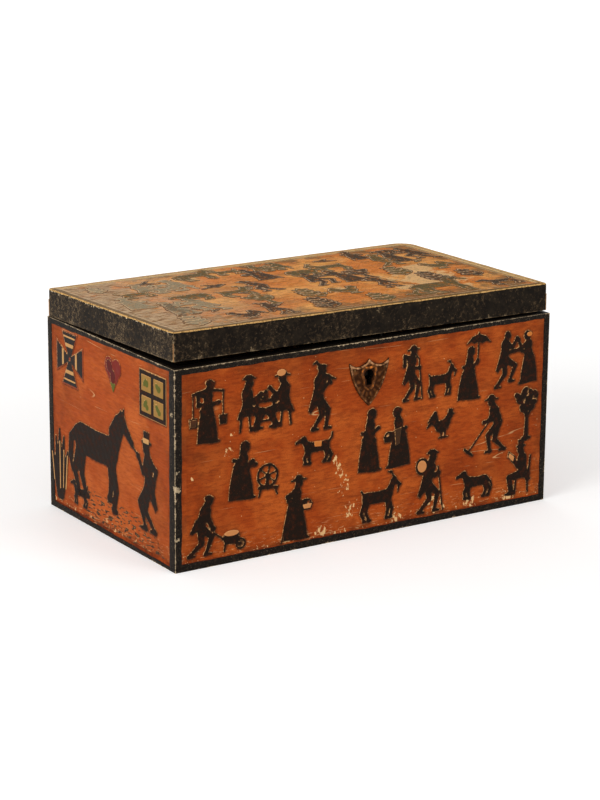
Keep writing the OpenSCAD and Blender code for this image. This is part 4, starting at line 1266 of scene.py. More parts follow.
# Painted highlight: the bright colour is laid on more strongly over the upper part of the shield, besides the
# rubbed rim and frame.
upper = made.step(made.apart(place)[2], *shield_rub_and_highlight, 0.0, 0.35)
rubbed_and_highlit = raised + upper + made.noise(place, 2.6, 5.0, 0.75) * 1.6
dull = made.over(srgb(54, 29, 14), aged["Colour"], raised, 0.0, 0.55)
from_keyhole = made.distance(place, keyhole_spot)
rubbed = made.over(srgb(206, 120, 50), srgb(190, 142, 100), from_keyhole, 8.0, 11.0)
tone = made.over(dull, rubbed, rubbed_and_highlit, 1.45, 2.1, 0.9)
surface(made, shader, tone, aged["Roughness"] + 0.06, aged["Height"], 0.05)
raised_by = np.clip((sheet[:, 2] - shield_ground_t) / (shield_rim_t - shield_ground_t), 0, 1)
marks = {"raised": raised_by}
add_piece("shield", points, faces, shield_material, "box", ["escutcheon"], marks)
finish_nodes(metal_material("dull_pins", srgb(128, 92, 52), srgb(62, 42, 24), 0.6), "escutcheon_pins")

# The cut-outs
# Figures, beasts and leaves cut with scissors from black and coloured papers and pasted on loosely in rows.
# Each one is drawn here as a group of limbs, ovals and patches, about 10 units tall for a standing figure.


def limb(*spots):
    """Round-ended lengths that taper from spot to spot, each given by its place and half its width."""
    spots = np.array(spots, float)

    def distance(u, v):
        least = np.full(u.shape, np.inf)
        for (x1, y1, r1), (x2, y2, r2) in zip(spots[:-1], spots[1:]):
            dx, dy = x2 - x1, y2 - y1
            part = np.clip(((u - x1) * dx + (v - y1) * dy) / (dx * dx + dy * dy), 0, 1)
            least = np.minimum(
                least, np.hypot(u - x1 - part * dx, v - y1 - part * dy) - r1 - part * (r2 - r1)
            )
        return least

    return distance


def rod(x1, y1, x2, y2, half_w):
    """A round-ended length of one width."""
    return limb((x1, y1, half_w), (x2, y2, half_w))


def oval(x, y, half_w, half_h, turn=0.0):
    """An oval about its middle, turned anticlockwise by degrees."""
    c, s = math.cos(math.radians(turn)), math.sin(math.radians(turn))

    def distance(u, v):
        across = ((u - x) * c + (v - y) * s) / half_w
        up = ((v - y) * c - (u - x) * s) / half_h
        return (np.hypot(across, up) - 1) * min(half_w, half_h)

    return distance


def patch(*corners):
    """A shape with straight sides: the distance to the nearest side, counted as less than nothing inside."""
    corners = np.array(corners, float)

    def distance(u, v):
        least = np.full(u.shape, np.inf)
        inside = np.zeros(u.shape, bool)
        for (x1, y1), (x2, y2) in zip(corners, np.roll(corners, -1, 0)):
            dx, dy = x2 - x1, y2 - y1
            part = np.clip(((u - x1) * dx + (v - y1) * dy) / (dx * dx + dy * dy), 0, 1)
            least = np.minimum(least, np.hypot(u - x1 - part * dx, v - y1 - part * dy))
            if dy:
                inside ^= ((v >= y1) != (v >= y2)) & (u < x1 + (v - y1) * dx / dy)
        return np.where(inside, -least, least)

    return distance


def hoop(x, y, radius, half_w):
    """A ring about a middle."""
    return lambda u, v: np.abs(np.hypot(u - x, v - y) - radius) - half_w


def bent(start, end, first, second, side):
    """Where a knee or elbow comes between two lengths, left or right of the way from start to end."""
    way = np.array(end, float) - np.array(start, float)
    far = min(max(np.hypot(*way), 0.1), first + second - 0.01)
    way = way / np.hypot(*way)
    down = (first**2 - second**2 + far**2) / (2 * far)
    out = side * math.sqrt(max(first**2 - down**2, 0))
    return np.array(start) + way * down + out * np.array([-way[1], way[0]])


def arm(shoulder, hand, reach=1.75):
    """An upper arm and forearm with the elbow hanging, and a hand."""
    elbow = bent(shoulder, hand, reach, reach, -1)
    return [limb((*shoulder, 0.42), (*elbow, 0.34), (*hand, 0.2)), oval(*hand, 0.27, 0.24)]


def leg(hip, foot, toe=0.85, knee=1):
    """A thigh and calf with the knee forward, and a shoe that points along x."""
    joint = bent(hip, (foot[0], foot[1] + 0.3), 2.75, 2.7, knee)
    shoe = limb((foot[0] - 0.15, foot[1] + 0.22, 0.24), (foot[0] + toe, foot[1] + 0.16, 0.15))
    return [limb((*hip, 0.62), (*joint, 0.42), (foot[0], foot[1] + 0.3, 0.2)), shoe]


# Hats and hair, drawn about the middle of a head
hats = {
    "none": [],
    "tall": [
        patch((-0.52, 0.4), (0.46, 0.4), (0.56, 1.6), (-0.6, 1.6)),
        limb((-0.9, 0.5, 0.09), (0, 0.4, 0.1), (0.85, 0.46, 0.08)),
    ],
    "cocked": [
        patch((-1.1, 0.62), (-0.3, 0.34), (1.15, 0.5), (0.3, 1.12), (-0.5, 1.12)),
        limb((-0.45, -0.2, 0.15), (-0.75, -0.95, 0.11)),
    ],
    "broad": [limb((-1.25, 0.3, 0.08), (0, 0.5, 0.14), (1.25, 0.34, 0.08)), oval(0, 0.62, 0.6, 0.5)],
    "bonnet": [
        oval(-0.25, 0.12, 0.62, 0.72),
        limb((0.1, 0.75, 0.16), (0.55, 0.45, 0.1)),
        limb((-0.6, -0.35, 0.14), (-0.9, -0.75, 0.08)),
    ],
    "cap": [oval(-0.12, 0.42, 0.56, 0.34), limb((0.3, 0.36, 0.09), (0.75, 0.28, 0.06))],
    "bun": [oval(-0.55, 0.25, 0.34, 0.32), oval(-0.1, 0.3, 0.55, 0.48)],
    "feather": [oval(0, 0.45, 0.72, 0.32, 8), limb((-0.3, 0.6, 0.16), (-1.0, 1.3, 0.2), (-1.5, 1.1, 0.08))],
}


def head(x, y, hat):
    """A plain head looking along x, with a hat or hair of its kind."""
    face = [oval(0, 0, 0.52, 0.66, -8), limb((0.4, 0.02, 0.13), (0.62, -0.12, 0.07))]
    neck = [oval(0.3, -0.48, 0.2, 0.17), limb((-0.1, -0.4, 0.3), (-0.3, -1.0, 0.34))]
    return moved(face + neck + hats[hat], x, y)


def man(
    hat="tall", hip=(0, 5.3), chest=(0.15, 7.5), feet=((-0.9, 0), (0.9, 0)), hands=((1.5, 6.0), (-0.9, 5.4)),
    tails=1.0, nod=0.0,
):
    """A man in a long coat looking along x, with his hips, chest, feet and hands where they are put."""
    (x, y), (chest_x, chest_y) = hip, chest
    parts = head(chest_x + 0.35 + nod, chest_y + 1.75 - 0.4 * abs(nod), hat)
    parts += [
        limb((*chest, 0.92), ((x + chest_x) / 2 - 0.05, (y + chest_y) / 2, 0.74), (*hip, 0.8)),
        limb((chest_x, chest_y + 0.45, 0.62), (chest_x + 0.1, chest_y + 1.0, 0.36)),
    ]
    for foot in feet:
        parts += leg((x, y - 0.2), foot)
    for hand in hands:
        parts += arm((chest_x, chest_y + 0.35), hand)
    if tails:
        sides = [(x - 0.75, y + 0.9), (x + 0.35, y + 0.4), (x - 0.1, y - 1.1 * tails)]
        parts += [patch(*sides, (x - 1.3, y - 2.5 * tails), (x - 1.75, y - 2.1 * tails))]
    return parts


def woman(
    hat="bonnet", hem=0.15, wide=1.0, chest=(0.1, 7.3), hands=((1.5, 6.0), (1.2, 5.6)), apron=True, lean=0.0
):
    """A woman in a gathered skirt to the ground looking along x."""
    x, (chest_x, chest_y) = lean, chest
    parts = head(chest_x + 0.35, chest_y + 1.75, hat)
    parts += [
        limb((*chest, 0.8), (chest_x * 0.6 + x * 0.4, 6.1, 0.58)),
        limb((chest_x, chest_y + 0.4, 0.52), (chest_x + 0.1, chest_y + 1.0, 0.3)),
    ]
    skirt = [
        (x - 0.6, 6.3), (x + 0.62, 6.3), (x + 1.25 * wide, 4.6), (x + 1.75 * wide, 2.2),
        (x + 2.0 * wide, hem), (x + 0.7 * wide, hem - 0.12), (x - 0.8 * wide, hem + 0.04),
        (x - 2.2 * wide, hem + 0.1), (x - 2.0 * wide, 2.4), (x - 1.5 * wide, 4.8),
    ]
    parts += [patch(*skirt)]
    if apron:
        bow = limb((x - 0.6, 6.1, 0.22), (x - 1.35, 6.3, 0.26))
        parts += [bow, limb((x - 0.6, 6.0, 0.16), (x - 1.3, 5.3, 0.12))]
    parts += [limb((x + 1.2 * wide, hem + 0.15, 0.2), (x + 1.9 * wide + 0.35, hem + 0.08, 0.12))]
    for hand in hands:
        parts += arm((chest_x, chest_y + 0.3), hand)
    return parts


def beast(rump, chest, poll, nose, feet, width, tail, ears, fat=0.0):
    """A beast looking along x, drawn from its rump, chest, poll, nose, feet, leg width, tail and ears."""
    (rx, ry, rr), (cx, cy, cr) = rump, chest
    parts = [
        limb(rump, ((rx + cx) / 2, (ry + cy) / 2 - 0.1, (rr + cr) / 2 - 0.1 + fat), chest),
        limb((cx + cr * 0.3, cy + cr * 0.2, cr * 0.75), (*poll, cr * 0.42)),
        limb((*poll, cr * 0.44), (*nose, cr * 0.22)),
    ]
    for at, (x, y) in enumerate(feet):
        if at < 2:
            top_x, top_y, thigh, back = rx - 0.1, ry - rr * 0.3, rr * 0.62, -0.16
        else:
            top_x, top_y, thigh, back = cx + 0.1, cy - cr * 0.3, cr * 0.5, 0.08
        tall = top_y - y
        knee = (x + back * tall, y + tall * 0.42, width * 1.25)
        hoof = (x + width * 1.3, y + width * 0.6, width * 0.7)
        parts += [
            limb((top_x, top_y, thigh), knee, (x, y + width, width * 0.85)),
            limb((x - width * 0.3, y + width * 0.7, width * 0.9), hoof),
        ]
    parts += [limb(*tail)]
    for x1, y1, x2, y2, r in ears:
        parts += [limb((x1, y1, r), (x2, y2, r * 0.35))]
    return parts


def dog(tail_up=True):
    """A lean dog with its tail up or down."""
    tail = [(-2.6, 3.3, 0.2), (-3.4, 2.6, 0.16), (-3.7, 1.7, 0.1)]
    if tail_up:
        tail = [(-2.6, 3.5, 0.2), (-3.4, 4.4, 0.17), (-3.5, 5.2, 0.1)]
    feet = ((-2.9, 0), (-1.9, 0), (1.2, 0), (2.1, 0.1))
    return beast(
        (-2.0, 3.1, 0.85), (1.3, 3.1, 0.95), (2.6, 4.7), (4.0, 4.3), feet, 0.23, tail,
        [(2.3, 4.9, 2.0, 4.1, 0.3)],
    )


# A horse at a stand with a thick neck and a long tail
feet = ((-3.6, 0), (-2.3, 0.1), (2.2, 0.9), (3.0, 0))
tail = [(-4.0, 6.2, 0.35), (-5.0, 5.2, 0.45), (-5.2, 3.4, 0.4), (-5.0, 2.2, 0.1)]
ears = [(4.7, 9.3, 4.9, 10.1, 0.2), (4.4, 9.2, 4.4, 9.9, 0.18)]
horse = beast((-2.9, 5.6, 1.45), (2.3, 5.6, 1.4), (4.6, 8.9), (6.3, 7.4), feet, 0.34, tail, ears, fat=0.1)
horse += [limb((2.7, 7.6, 0.5), (3.7, 9.0, 0.35), (4.5, 9.5, 0.2))]

# A goat with a horn and a beard
feet = ((-2.6, 0), (-1.7, 0), (1.6, 0), (2.4, 0))
tail = [(-2.7, 4.4, 0.2), (-3.1, 5.1, 0.12)]
ears = [(3.1, 6.2, 2.5, 5.9, 0.16), (3.2, 6.4, 2.4, 7.6, 0.16)]
goat = beast(
    (-2.0, 3.8, 0.95), (1.7, 3.8, 0.95), (3.0, 6.0), (4.2, 5.2), feet, 0.2, tail, ears, fat=0.05
)
goat += [limb((3.9, 4.9, 0.14), (3.8, 4.1, 0.05)), limb((2.5, 7.5, 0.13), (1.9, 7.6, 0.05))]

# A fat sheep with a curly back
feet = ((-1.9, 0), (-1.2, 0), (1.2, 0), (1.9, 0))
tail = [(-2.5, 3.3, 0.25), (-2.8, 2.5, 0.15)]
sheep = beast(
    (-1.5, 2.9, 1.15), (1.3, 2.9, 1.15), (2.6, 3.7), (3.6, 3.1), feet, 0.2, tail,
    [(2.6, 3.9, 2.1, 3.7, 0.16)], fat=0.25,
)
sheep += [oval(x, 3.9 + 0.1 * (x % 0.7), 0.5, 0.35) for x in (-1.8, -0.9, 0.0, 0.9)]

# A cockerel with a comb and three tail feathers
cockerel = [
    oval(0, 2.2, 1.5, 1.05, 12), limb((0.9, 2.9, 0.7), (1.7, 4.3, 0.42)),
    limb((1.9, 4.3, 0.16), (2.5, 4.15, 0.05)), oval(1.7, 4.85, 0.42, 0.28), oval(2.0, 3.85, 0.17, 0.28),
]
for x, y in ((-2.2, 4.6), (-2.9, 3.9), (-3.1, 3.0)):
    cockerel += [limb((-1.1, 2.6, 0.4), (x * 0.75, y + 0.1, 0.34), (x - 0.2, y - 0.7, 0.1))]
for x in (-0.3, 0.5):
    cockerel += [limb((x, 1.4, 0.2), (x + 0.1, 0.2, 0.1)), limb((x - 0.4, 0.1, 0.08), (x + 0.7, 0.1, 0.06))]


def bird(wing=1.0):
    """A bird in flight with one wing up."""
    return [
        limb((-1.6, 0.9, 0.25), (0, 1.2, 0.8), (1.1, 1.7, 0.5)), limb((1.4, 1.9, 0.4), (2.2, 1.8, 0.06)),
        limb((-0.9, 0.9, 0.3), (-2.9, 0.3, 0.12)),
        limb((0.3, 1.5, 0.5), (-0.7, 2.2 + wing, 0.32), (-1.6, 2.7 + wing, 0.08)),
    ]


def tree(tall=10.0):
    """A forked trunk under a round crown of leaves, which follow a spiral."""
    parts = [
        limb((0, 0, 0.5), (0.1, tall * 0.35, 0.33), (-0.15, tall * 0.7, 0.2)),
        limb((0.1, tall * 0.4, 0.22), (1.4, tall * 0.6, 0.14)),
        limb((0, tall * 0.45, 0.22), (-1.4, tall * 0.62, 0.14)), limb((-0.8, 0.05, 0.25), (0.9, 0.05, 0.2)),
    ]
    for at in range(11):
        turn = at * 2.4
        reach = 0.45 + 0.62 * math.sqrt(at)
        x, y = reach * math.cos(turn), tall * 0.76 + reach * 0.85 * math.sin(turn)
        parts += [oval(x, y, 0.78, 0.5, at * 37.0)]
    return parts


def sprig(leaves=5, tall=7.0, sway=1.0, fat=0.42):
    """A stem with pairs of leaves that grow smaller to a bud at the tip."""
    parts = []
    stem = [(0.0, 0.0, 0.16)]
    for at in range(1, leaves + 1):
        part = at / leaves
        x, y = sway * math.sin(part * 2.2), tall * part
        stem += [(x, y, 0.15 - 0.07 * part)]
        long = 1.25 * (1.1 - 0.55 * part)
        for side in (-1, 1):
            leaf_y = y - 0.2 * tall / leaves + 0.25
            parts += [oval(x + side * long * 0.85, leaf_y, long, fat * (1.15 - 0.4 * part), side * 38)]
    return parts + [limb(*stem), oval(stem[-1][0], tall + 0.5, 0.3, 0.6)]


def table(left, right, top=4.2):
    """A table on two splayed legs."""
    parts = [rod(left, top, right, top, 0.17), rod(left + 0.5, 1.2, right - 0.5, 1.2, 0.1)]
    for x, out in ((left + 0.5, -0.25), (right - 0.5, 0.25)):
        parts += [limb((x, top, 0.22), (x + out * 0.3, 2.2, 0.15), (x + out, 0.1, 0.17))]
    return parts


def stool(x, top=3.0):
    """A stool on two splayed legs."""
    return [
        rod(x - 0.8, top, x + 0.8, top, 0.17),
        limb((x - 0.6, top, 0.14), (x - 0.9, 0.1, 0.12)),
        limb((x + 0.6, top, 0.14), (x + 0.9, 0.1, 0.12)),
    ]


def jug(x, y):
    """A jug with its handle to the left."""
    return [
        oval(x, y + 0.5, 0.38, 0.5), limb((x, y + 0.8, 0.2), (x, y + 1.25, 0.26)),
        hoop(x - 0.45, y + 0.6, 0.3, 0.07),
    ]


def basket(x, y, wide=0.9):
    """A basket with a round handle."""
    sides = patch((x - wide, y + 0.8), (x + wide, y + 0.8), (x + wide * 0.75, y), (x - wide * 0.75, y))
    return [sides, hoop(x, y + 0.85, wide * 0.75, 0.09)]


def barrow(x):
    """A wheelbarrow, its wheel in front."""
    return [
        hoop(x + 3.1, 0.85, 0.75, 0.11), oval(x + 3.1, 0.85, 0.16, 0.16),
        limb((x - 1.6, 3.3, 0.1), (x + 0.3, 1.8, 0.13), (x + 3.1, 0.85, 0.1)),
        patch((x + 0.1, 2.2), (x + 2.9, 2.0), (x + 2.3, 1.1), (x + 0.5, 1.2)),
        limb((x + 0.5, 1.6, 0.14), (x + 0.2, 0.1, 0.12)), oval(x + 1.5, 2.5, 1.2, 0.6),
    ]


def moved(parts, x, y=0.0, size=1.0, facing=1):
    """A group of parts moved, made larger or smaller, and turned to look the other way."""
    return [lambda u, v, p=p: p((u - x) * facing / size, (v - y) / size) * size for p in parts]


# A groom who holds a horse by its halter
groom = man(
    "tall", hip=(0, 5.0), chest=(0.1, 7.2), feet=((-1.2, 0), (0.7, 0)), hands=((2.1, 7.6), (-1.0, 5.2))
)
horse_and_groom = horse + moved(groom, 9.3, 0, 0.86, -1) + [limb((7.4, 6.6, 0.06), (6.3, 7.3, 0.08))]

# A man with one foot raised and a woman, face to face with their hands joined
his = man("none", feet=((-1.6, 0), (1.3, 0.8)), hands=((2.6, 8.4), (2.3, 6.2)), chest=(0.2, 7.4))
hers = woman("bun", hands=((2.5, 8.5), (2.4, 6.6)), wide=0.9, apron=False)
couple_dancing = his + moved(hers, 5.2, 0.1, 0.94, -1)

# A man in a feathered hat who plays the fiddle
plays = man("feather", feet=((-0.9, 0), (1.4, 0)), hands=((2.0, 7.2), (1.1, 7.9)), nod=0.1)
fiddle = [oval(1.5, 8.1, 0.7, 0.36, -18), limb((1.9, 8.0, 0.1), (3.0, 7.6, 0.08))]
fiddler = plays + fiddle + [rod(0.7, 8.9, 2.3, 7.0, 0.05)]

# Two men on stools, face to face across a table with a jug
left = man(
    "cocked", hip=(-3.0, 3.3), chest=(-3.1, 5.6), feet=((-1.4, 0), (-2.0, 0)),
    hands=((-0.7, 5.4), (-1.2, 4.6)), tails=0.6,
)
right = man(
    "broad", hip=(-3.1, 3.3), chest=(-3.2, 5.6), feet=((-1.5, 0), (-2.1, 0)),
    hands=((-0.6, 6.1), (-1.2, 4.6)), tails=0.6,
)
seat = stool(-3.4, 2.7)
friends_at_table = left + seat + moved(right + seat, 0.2, 0, 1, -1) + table(-1.9, 2.0) + jug(0.1, 4.3)

# A woman with a basket and a stick
walks = woman("broad", hands=((1.6, 5.9), (-0.5, 5.6)), wide=1.0)
market_woman = walks + basket(2.0, 4.6) + [rod(-2.6, 0, -1.2, 5.8, 0.07)]

# A woman with two pails on a yoke
walks = woman("cap", hands=((1.9, 6.3), (-1.7, 6.2)), wide=0.86, chest=(0.0, 7.4))
yoke = [limb((-2.6, 8.0, 0.12), (0, 8.5, 0.2), (2.7, 8.0, 0.12))]
for x in (-2.6, 2.7):
    pail = patch((x - 0.7, 4.2), (x + 0.7, 4.2), (x + 0.55, 2.8), (x - 0.55, 2.8))
    yoke += [rod(x, 8.0, x, 4.2, 0.05), pail]
milkmaid = walks + yoke

# A man who pushes a wheelbarrow
pushes = man(
    "cap", hip=(-0.3, 4.9), chest=(0.6, 6.9), feet=((-2.2, 0), (0.7, 0)), hands=((2.0, 4.0), (1.9, 4.0)),
    tails=0.5, nod=0.25,
)
barrow_man = pushes + moved(barrow(0), 3.7)

# A lady under a parasol with a scalloped edge
lady = woman("bonnet", hands=((1.9, 7.2), (0.9, 5.4)), wide=1.12)
shade = patch(
    (-0.6, 10.6), (0.6, 11.7), (2.1, 12.1), (3.6, 11.6), (4.7, 10.4), (3.8, 10.7), (2.9, 10.4),
    (2.0, 10.8), (1.1, 10.5), (0.3, 10.9),
)
lady_with_parasol = lady + [shade, rod(1.9, 6.6, 2.05, 12.4, 0.08)]

# A man with a crook and a goat in front of him
walks = man(
    "broad", feet=((-1.3, 0), (1.2, 0)), hands=((1.9, 5.9), (-1.4, 6.6)), chest=(0.2, 7.3), tails=0.9
)
stick = [limb((2.6, 0.1, 0.08), (1.7, 7.7, 0.08), (1.2, 8.3, 0.08))]
goatherd = walks + stick + moved(goat, 6.6, 0, 0.82)

# A man with a sack on his back and a stick
walks = man(
    "cocked", hip=(-0.1, 5.1), chest=(0.5, 7.2), feet=((-1.6, 0), (1.3, 0)),
    hands=((2.0, 6.2), (1.4, 5.8)), tails=1.0,
)
packman = walks + [oval(-1.1, 7.6, 1.2, 1.35, 12), rod(2.9, 0.1, 1.9, 7.2, 0.08)]

# A woman at a spinning wheel with six spokes
sits = woman("bonnet", hands=((2.2, 5.2), (1.7, 5.8)), wide=1.02, chest=(0.1, 6.3), lean=-0.2)
wheel = [hoop(4.3, 3.1, 1.7, 0.13), oval(4.3, 3.1, 0.22, 0.22)]
wheel += [
    rod(4.3, 3.1, 4.3 + 1.7 * math.cos(t), 3.1 + 1.7 * math.sin(t), 0.06)
    for t in np.arange(0.3, 6.2, 1.05)
]
wheel += [
    rod(2.8, 1.4, 6.0, 1.1, 0.16),
    limb((3.2, 1.4, 0.11), (2.8, 0.05, 0.1)),
    limb((5.6, 1.1, 0.11), (6.0, 0.05, 0.1)),
]
spinner = sits + wheel + [limb((4.3, 3.1, 0.12), (4.4, 1.2, 0.14))]

# A man who leans over a hay rake with four teeth
works = man(
    "broad", hip=(-0.4, 5.0), chest=(0.5, 7.0), feet=((-1.7, 0), (1.2, 0)),
    hands=((2.5, 5.3), (1.2, 6.0)), tails=0.0, nod=0.2,
)
rake = [rod(-0.4, 7.3, 5.6, 0.7, 0.08), rod(4.9, 0.2, 6.3, 1.2, 0.1)]
for x in (5.0, 5.45, 5.9, 6.3):
    y = (x - 4.9) * 0.7
    rake += [limb((x, 0.3 + y, 0.07), (x - 0.35, -0.1 + y, 0.04))]
hay_raker = works + rake

# Two women, face to face with a basket between them
left = woman("bonnet", hands=((1.6, 6.8), (0.8, 5.0)), wide=0.92)
right = woman("bun", hands=((1.5, 5.6), (1.2, 5.4)), wide=1.0)
gossips = left + moved(right, 5.4, 0, 0.97, -1) + moved(basket(0, 0, 0.85), 3.5, 4.3)

# A man on a chair who reads a sheet of paper
sits = man(
    "tall", hip=(-0.6, 3.6), chest=(-0.5, 5.9), feet=((1.3, 0), (1.9, 0)), hands=((1.4, 6.2), (1.3, 5.8)),
    tails=0.7,
)
chair = [
    rod(-1.9, 3.0, 1.0, 3.0, 0.2), limb((-1.6, 3.0, 0.16), (-1.8, 0.1, 0.14)),
    limb((0.7, 3.0, 0.14), (0.9, 0.1, 0.12)), limb((-1.9, 3.0, 0.16), (-2.2, 6.2, 0.13)),
]
reader = sits + [patch((1.2, 5.6), (2.5, 6.6), (2.3, 7.5), (1.0, 6.5))] + chair


def joined(parts, fillet=0.35):
    """Parts run together into one shape, with a small fillet where two of them meet."""

    def distance(u, v):
        far = parts[0](u, v)
        for part in parts[1:]:
            other = part(u, v)
            share = np.clip(0.5 + (other - far) / (2 * fillet), 0, 1)
            far = other * (1 - share) + far * share - fillet * share * (1 - share)
        return far

    return distance


def pasted(pictures, step, bold, thick=0.2, layer_t=0.16):
    """
    The sheets of all the pictures on one face. A picture gives its parts, its place across and up, the size
    of its unit, the way it looks, the colour of its paper and how many papers lie under it. It is cut larger
    all round by bold. The face of a paper stands up by thick and falls to half of that at its cut edge.
    """
    points, faces, insets, lights, colours, start = [], [], [], [], [], 0
    drawn = np.arange(-9, 16, 0.2)
    coarse_u, coarse_v = np.meshgrid(drawn, drawn, indexing="ij")
    for parts, across, up, size, facing, colour, layer in pictures:
        shape = joined(parts)
        found = shape(coarse_u, coarse_v) < 0.3
        u_found, v_found = coarse_u[found] * facing * size + across, coarse_v[found] * size + up
        low, high = (u_found.min() - 1, v_found.min() - 1), (u_found.max() + 1, v_found.max() + 1)
        base = layer_t * layer

        def distance(u, v):
            return shape((u - across) * facing / size, (v - up) / size) * size - bold

        def height(u, v, inset):
            return base + thick * (0.5 + 0.5 * np.clip(inset / 0.5, 0, 1) + 0.075 * np.sin(u * 0.9 + v * 0.6))

        sheet, sheet_faces, inset, looks = cut_sheet(distance, low, high, step, height, base + paper_sunk)
        points.append(sheet)
        faces.append(sheet_faces + start)
        insets.append(inset)
        lights.append(looks)
        colours.append(np.broadcast_to(colour, (len(sheet), 4)))
        start += len(sheet)
    marks = {"inset": np.concatenate(insets), "looks": np.concatenate(lights)}
    return np.concatenate(points), np.concatenate(faces), marks, np.concatenate(colours)


def cut_paper_material(
    name, bare, worn, mottle, edge_colour, edge_w, edge_amount, dark_side, gloss=0.05, dirt_w=0.0
):
    """
    Thin paper in its own colour, crazed and specked, rubbed through to what is under it. Its cut edge has
    lifted and shows pale, with a painted highlight where it looks up and to the left, towards the light, and
    by dark_side where it looks the other way. Dirt has gathered along it over the width dirt_w.
    """
    material, made, shader = plain_material(name, Specular_IOR_Level=gloss)
    place = made.millimetres()
    inset = made.mark("inset")
    paper = made.out("Color", "Attribute", attribute_name="paper")
    blot = made.noise(place, 4.0, 5.0, 0.7, shift=(1, 7, 3))
    grain = made.noise(place, 0.7, 3.0, 0.7, shift=(6, 5, 2))
    broken = made.noise(place, 1.5, 3.0, 0.7, shift=(2, 1, 9))
    tone = made.over(paper, made.mix(0.35, paper, bare), blot, 0.46, 0.75, mottle)
    if dirt_w:
        tone = made.over(tone, soot_brown, broken, 0.5, 0.7, 0.75)
        tone = made.mix(made.fall(broken, 0.3, 0.42, 0.35), tone, edge_colour)
    tone = made.over(tone, edge_colour, grain, 0.66, 0.78, 0.4)
    rubbed = blot * 0.6 + broken * 0.4
    tone = made.over(tone, bare, rubbed, 0.74 - worn, 0.79 - worn, 0.85)
    # Painted highlight: the pale cut edge is strongest where it looks up and to the left, towards the light.
    looks = made.mark("looks")
    lit_edge_highlight = made.step(looks, -0.5, 0.6, dark_side, 1.0)
    edge = made.fall(inset, edge_w * 0.4, edge_w, edge_amount) * lit_edge_highlight
    edge = edge * made.step(broken, 0.42, 0.6, 0.08, 1.0)
    if dirt_w:
        clean = made.step(inset, dirt_w - 0.15, dirt_w + 0.15)
        dirt = (1.0 - clean) * made.step(grain, 0.3, 0.5, 0.3, 0.85)
        tone = made.mix(dirt, tone, soot_brown)
        edge = edge * clean
    surface(
        made, shader, made.mix(edge, tone, edge_colour), made.step(blot, 0.3, 0.7, 0.42, 0.6), grain, 0.03
    )
    return material


# The colours of the papers
black_paper = srgb(28, 18, 11)
buff_paper = srgb(188, 142, 88)
orange_paper = srgb(196, 116, 52)
maroon_paper = srgb(114, 38, 30)
dark_maroon = srgb(84, 28, 26)
red_paper = srgb(132, 56, 32)
green_paper = srgb(86, 88, 34)
brown_paper = srgb(62, 42, 27)
tan_paper = srgb(198, 132, 78)
blue_black = srgb(34, 32, 30)
pane_paper = srgb(148, 112, 56)

# The front
# Eighteen figures and groups in three rows, with bits of other papers pasted on some of them.
# Each has its parts, its place across and up, its size, and the way it looks.
front_step = 0.45
front_bold = 0.42
front_row_up = 60
front_figures = {
    "milkmaid": (milkmaid, -134, 89, 4.5, 1),
    "friends": (friends_at_table, -88, 93, 4.7, 1),
    "fiddler": (fiddler, -44, 85, 4.7, 1),
    "goatherd": (goatherd, 35, 95, 4.0, 1),
    "lady": (lady_with_parasol, 87, 88, 4.0, 1),
    "dancers": (couple_dancing, 119, 93, 4.3, 1),
    "spinner": (spinner, -106, 44, 4.7, 1),
    "first_dog": (dog(), -46, 61, 4.0, -1),
    "gossips": (gossips, 0, 47, 4.7, 1),
    "cockerel": (cockerel, 64, 63, 4.1, 1),
    "raker": (hay_raker, 113, 45, 4.5, -1),
    "tree": (tree(), 141, 51, 4.0, 1),
    "barrow_man": (barrow_man, -139, 9, 4.6, 1),
    "market_woman": (market_woman, -62, 7, 4.7, 1),
    "goat": (goat, 8, 10, 4.6, 1),
    "packman": (packman, 52, 8, 4.7, 1),
    "second_dog": (dog(False), 95, 12, 4.2, -1),
    "reader": (reader, 136, 9, 4.5, -1),
}
# Bits of other papers pasted on them
front_bits = [
    ("packman", oval(-1.15, 7.65, 0.75, 0.85, 12), tan_paper),
    ("friends", oval(2.82, 8.1, 0.62, 0.42), tan_paper),
    ("barrow_man", oval(5.2, 2.75, 1.0, 0.35), tan_paper),
    ("milkmaid", patch((-3.1, 4.0), (-2.1, 4.0), (-2.2, 3.0), (-3.0, 3.0)), brown_paper),
    ("market_woman", patch((1.3, 5.3), (2.7, 5.3), (2.5, 4.8), (1.5, 4.8)), tan_paper),
    ("reader", patch((1.4, 5.8), (2.25, 6.6), (2.1, 7.1), (1.25, 6.4)), tan_paper),
    ("dancers", oval(5.3, 8.75, 0.42, 0.3), orange_paper),
    ("first_dog", patch((-1.2, 3.9), (0.2, 4.0), (0.1, 3.2), (-1.1, 3.1)), orange_paper),
    ("gossips", patch((4.7, 6.0), (5.8, 6.2), (5.5, 3.8), (4.9, 3.6)), brown_paper),
]
front_pictures = [(*figure, black_paper, 0) for figure in front_figures.values()]
front_pictures += [([bit], *front_figures[name][1:], colour, 1) for name, bit, colour in front_bits]
cut_paper = cut_paper_material(
    "black_cut_paper", bare=rust, worn=0.01, mottle=0.3, edge_colour=srgb(210, 154, 98), edge_w=0.54,
    edge_amount=1.0, dark_side=0.1,
)


def add_pictures(name, pictures, step, bold, on_face, material, body="box"):
    """Pastes pictures on a face of the box or the lid as one piece."""
    sheet, faces, marks, colour = pasted(pictures, step, bold)
    points = on_face(sheet[:, 0], sheet[:, 1], sheet[:, 2])
    piece = add_piece(name, points, outwards(points, faces), material, body, [], marks, 60.0)
    papers = piece.data.attributes.new("paper", "FLOAT_COLOR", "POINT")
    papers.data.foreach_set("color", colour.ravel().astype(np.float32))


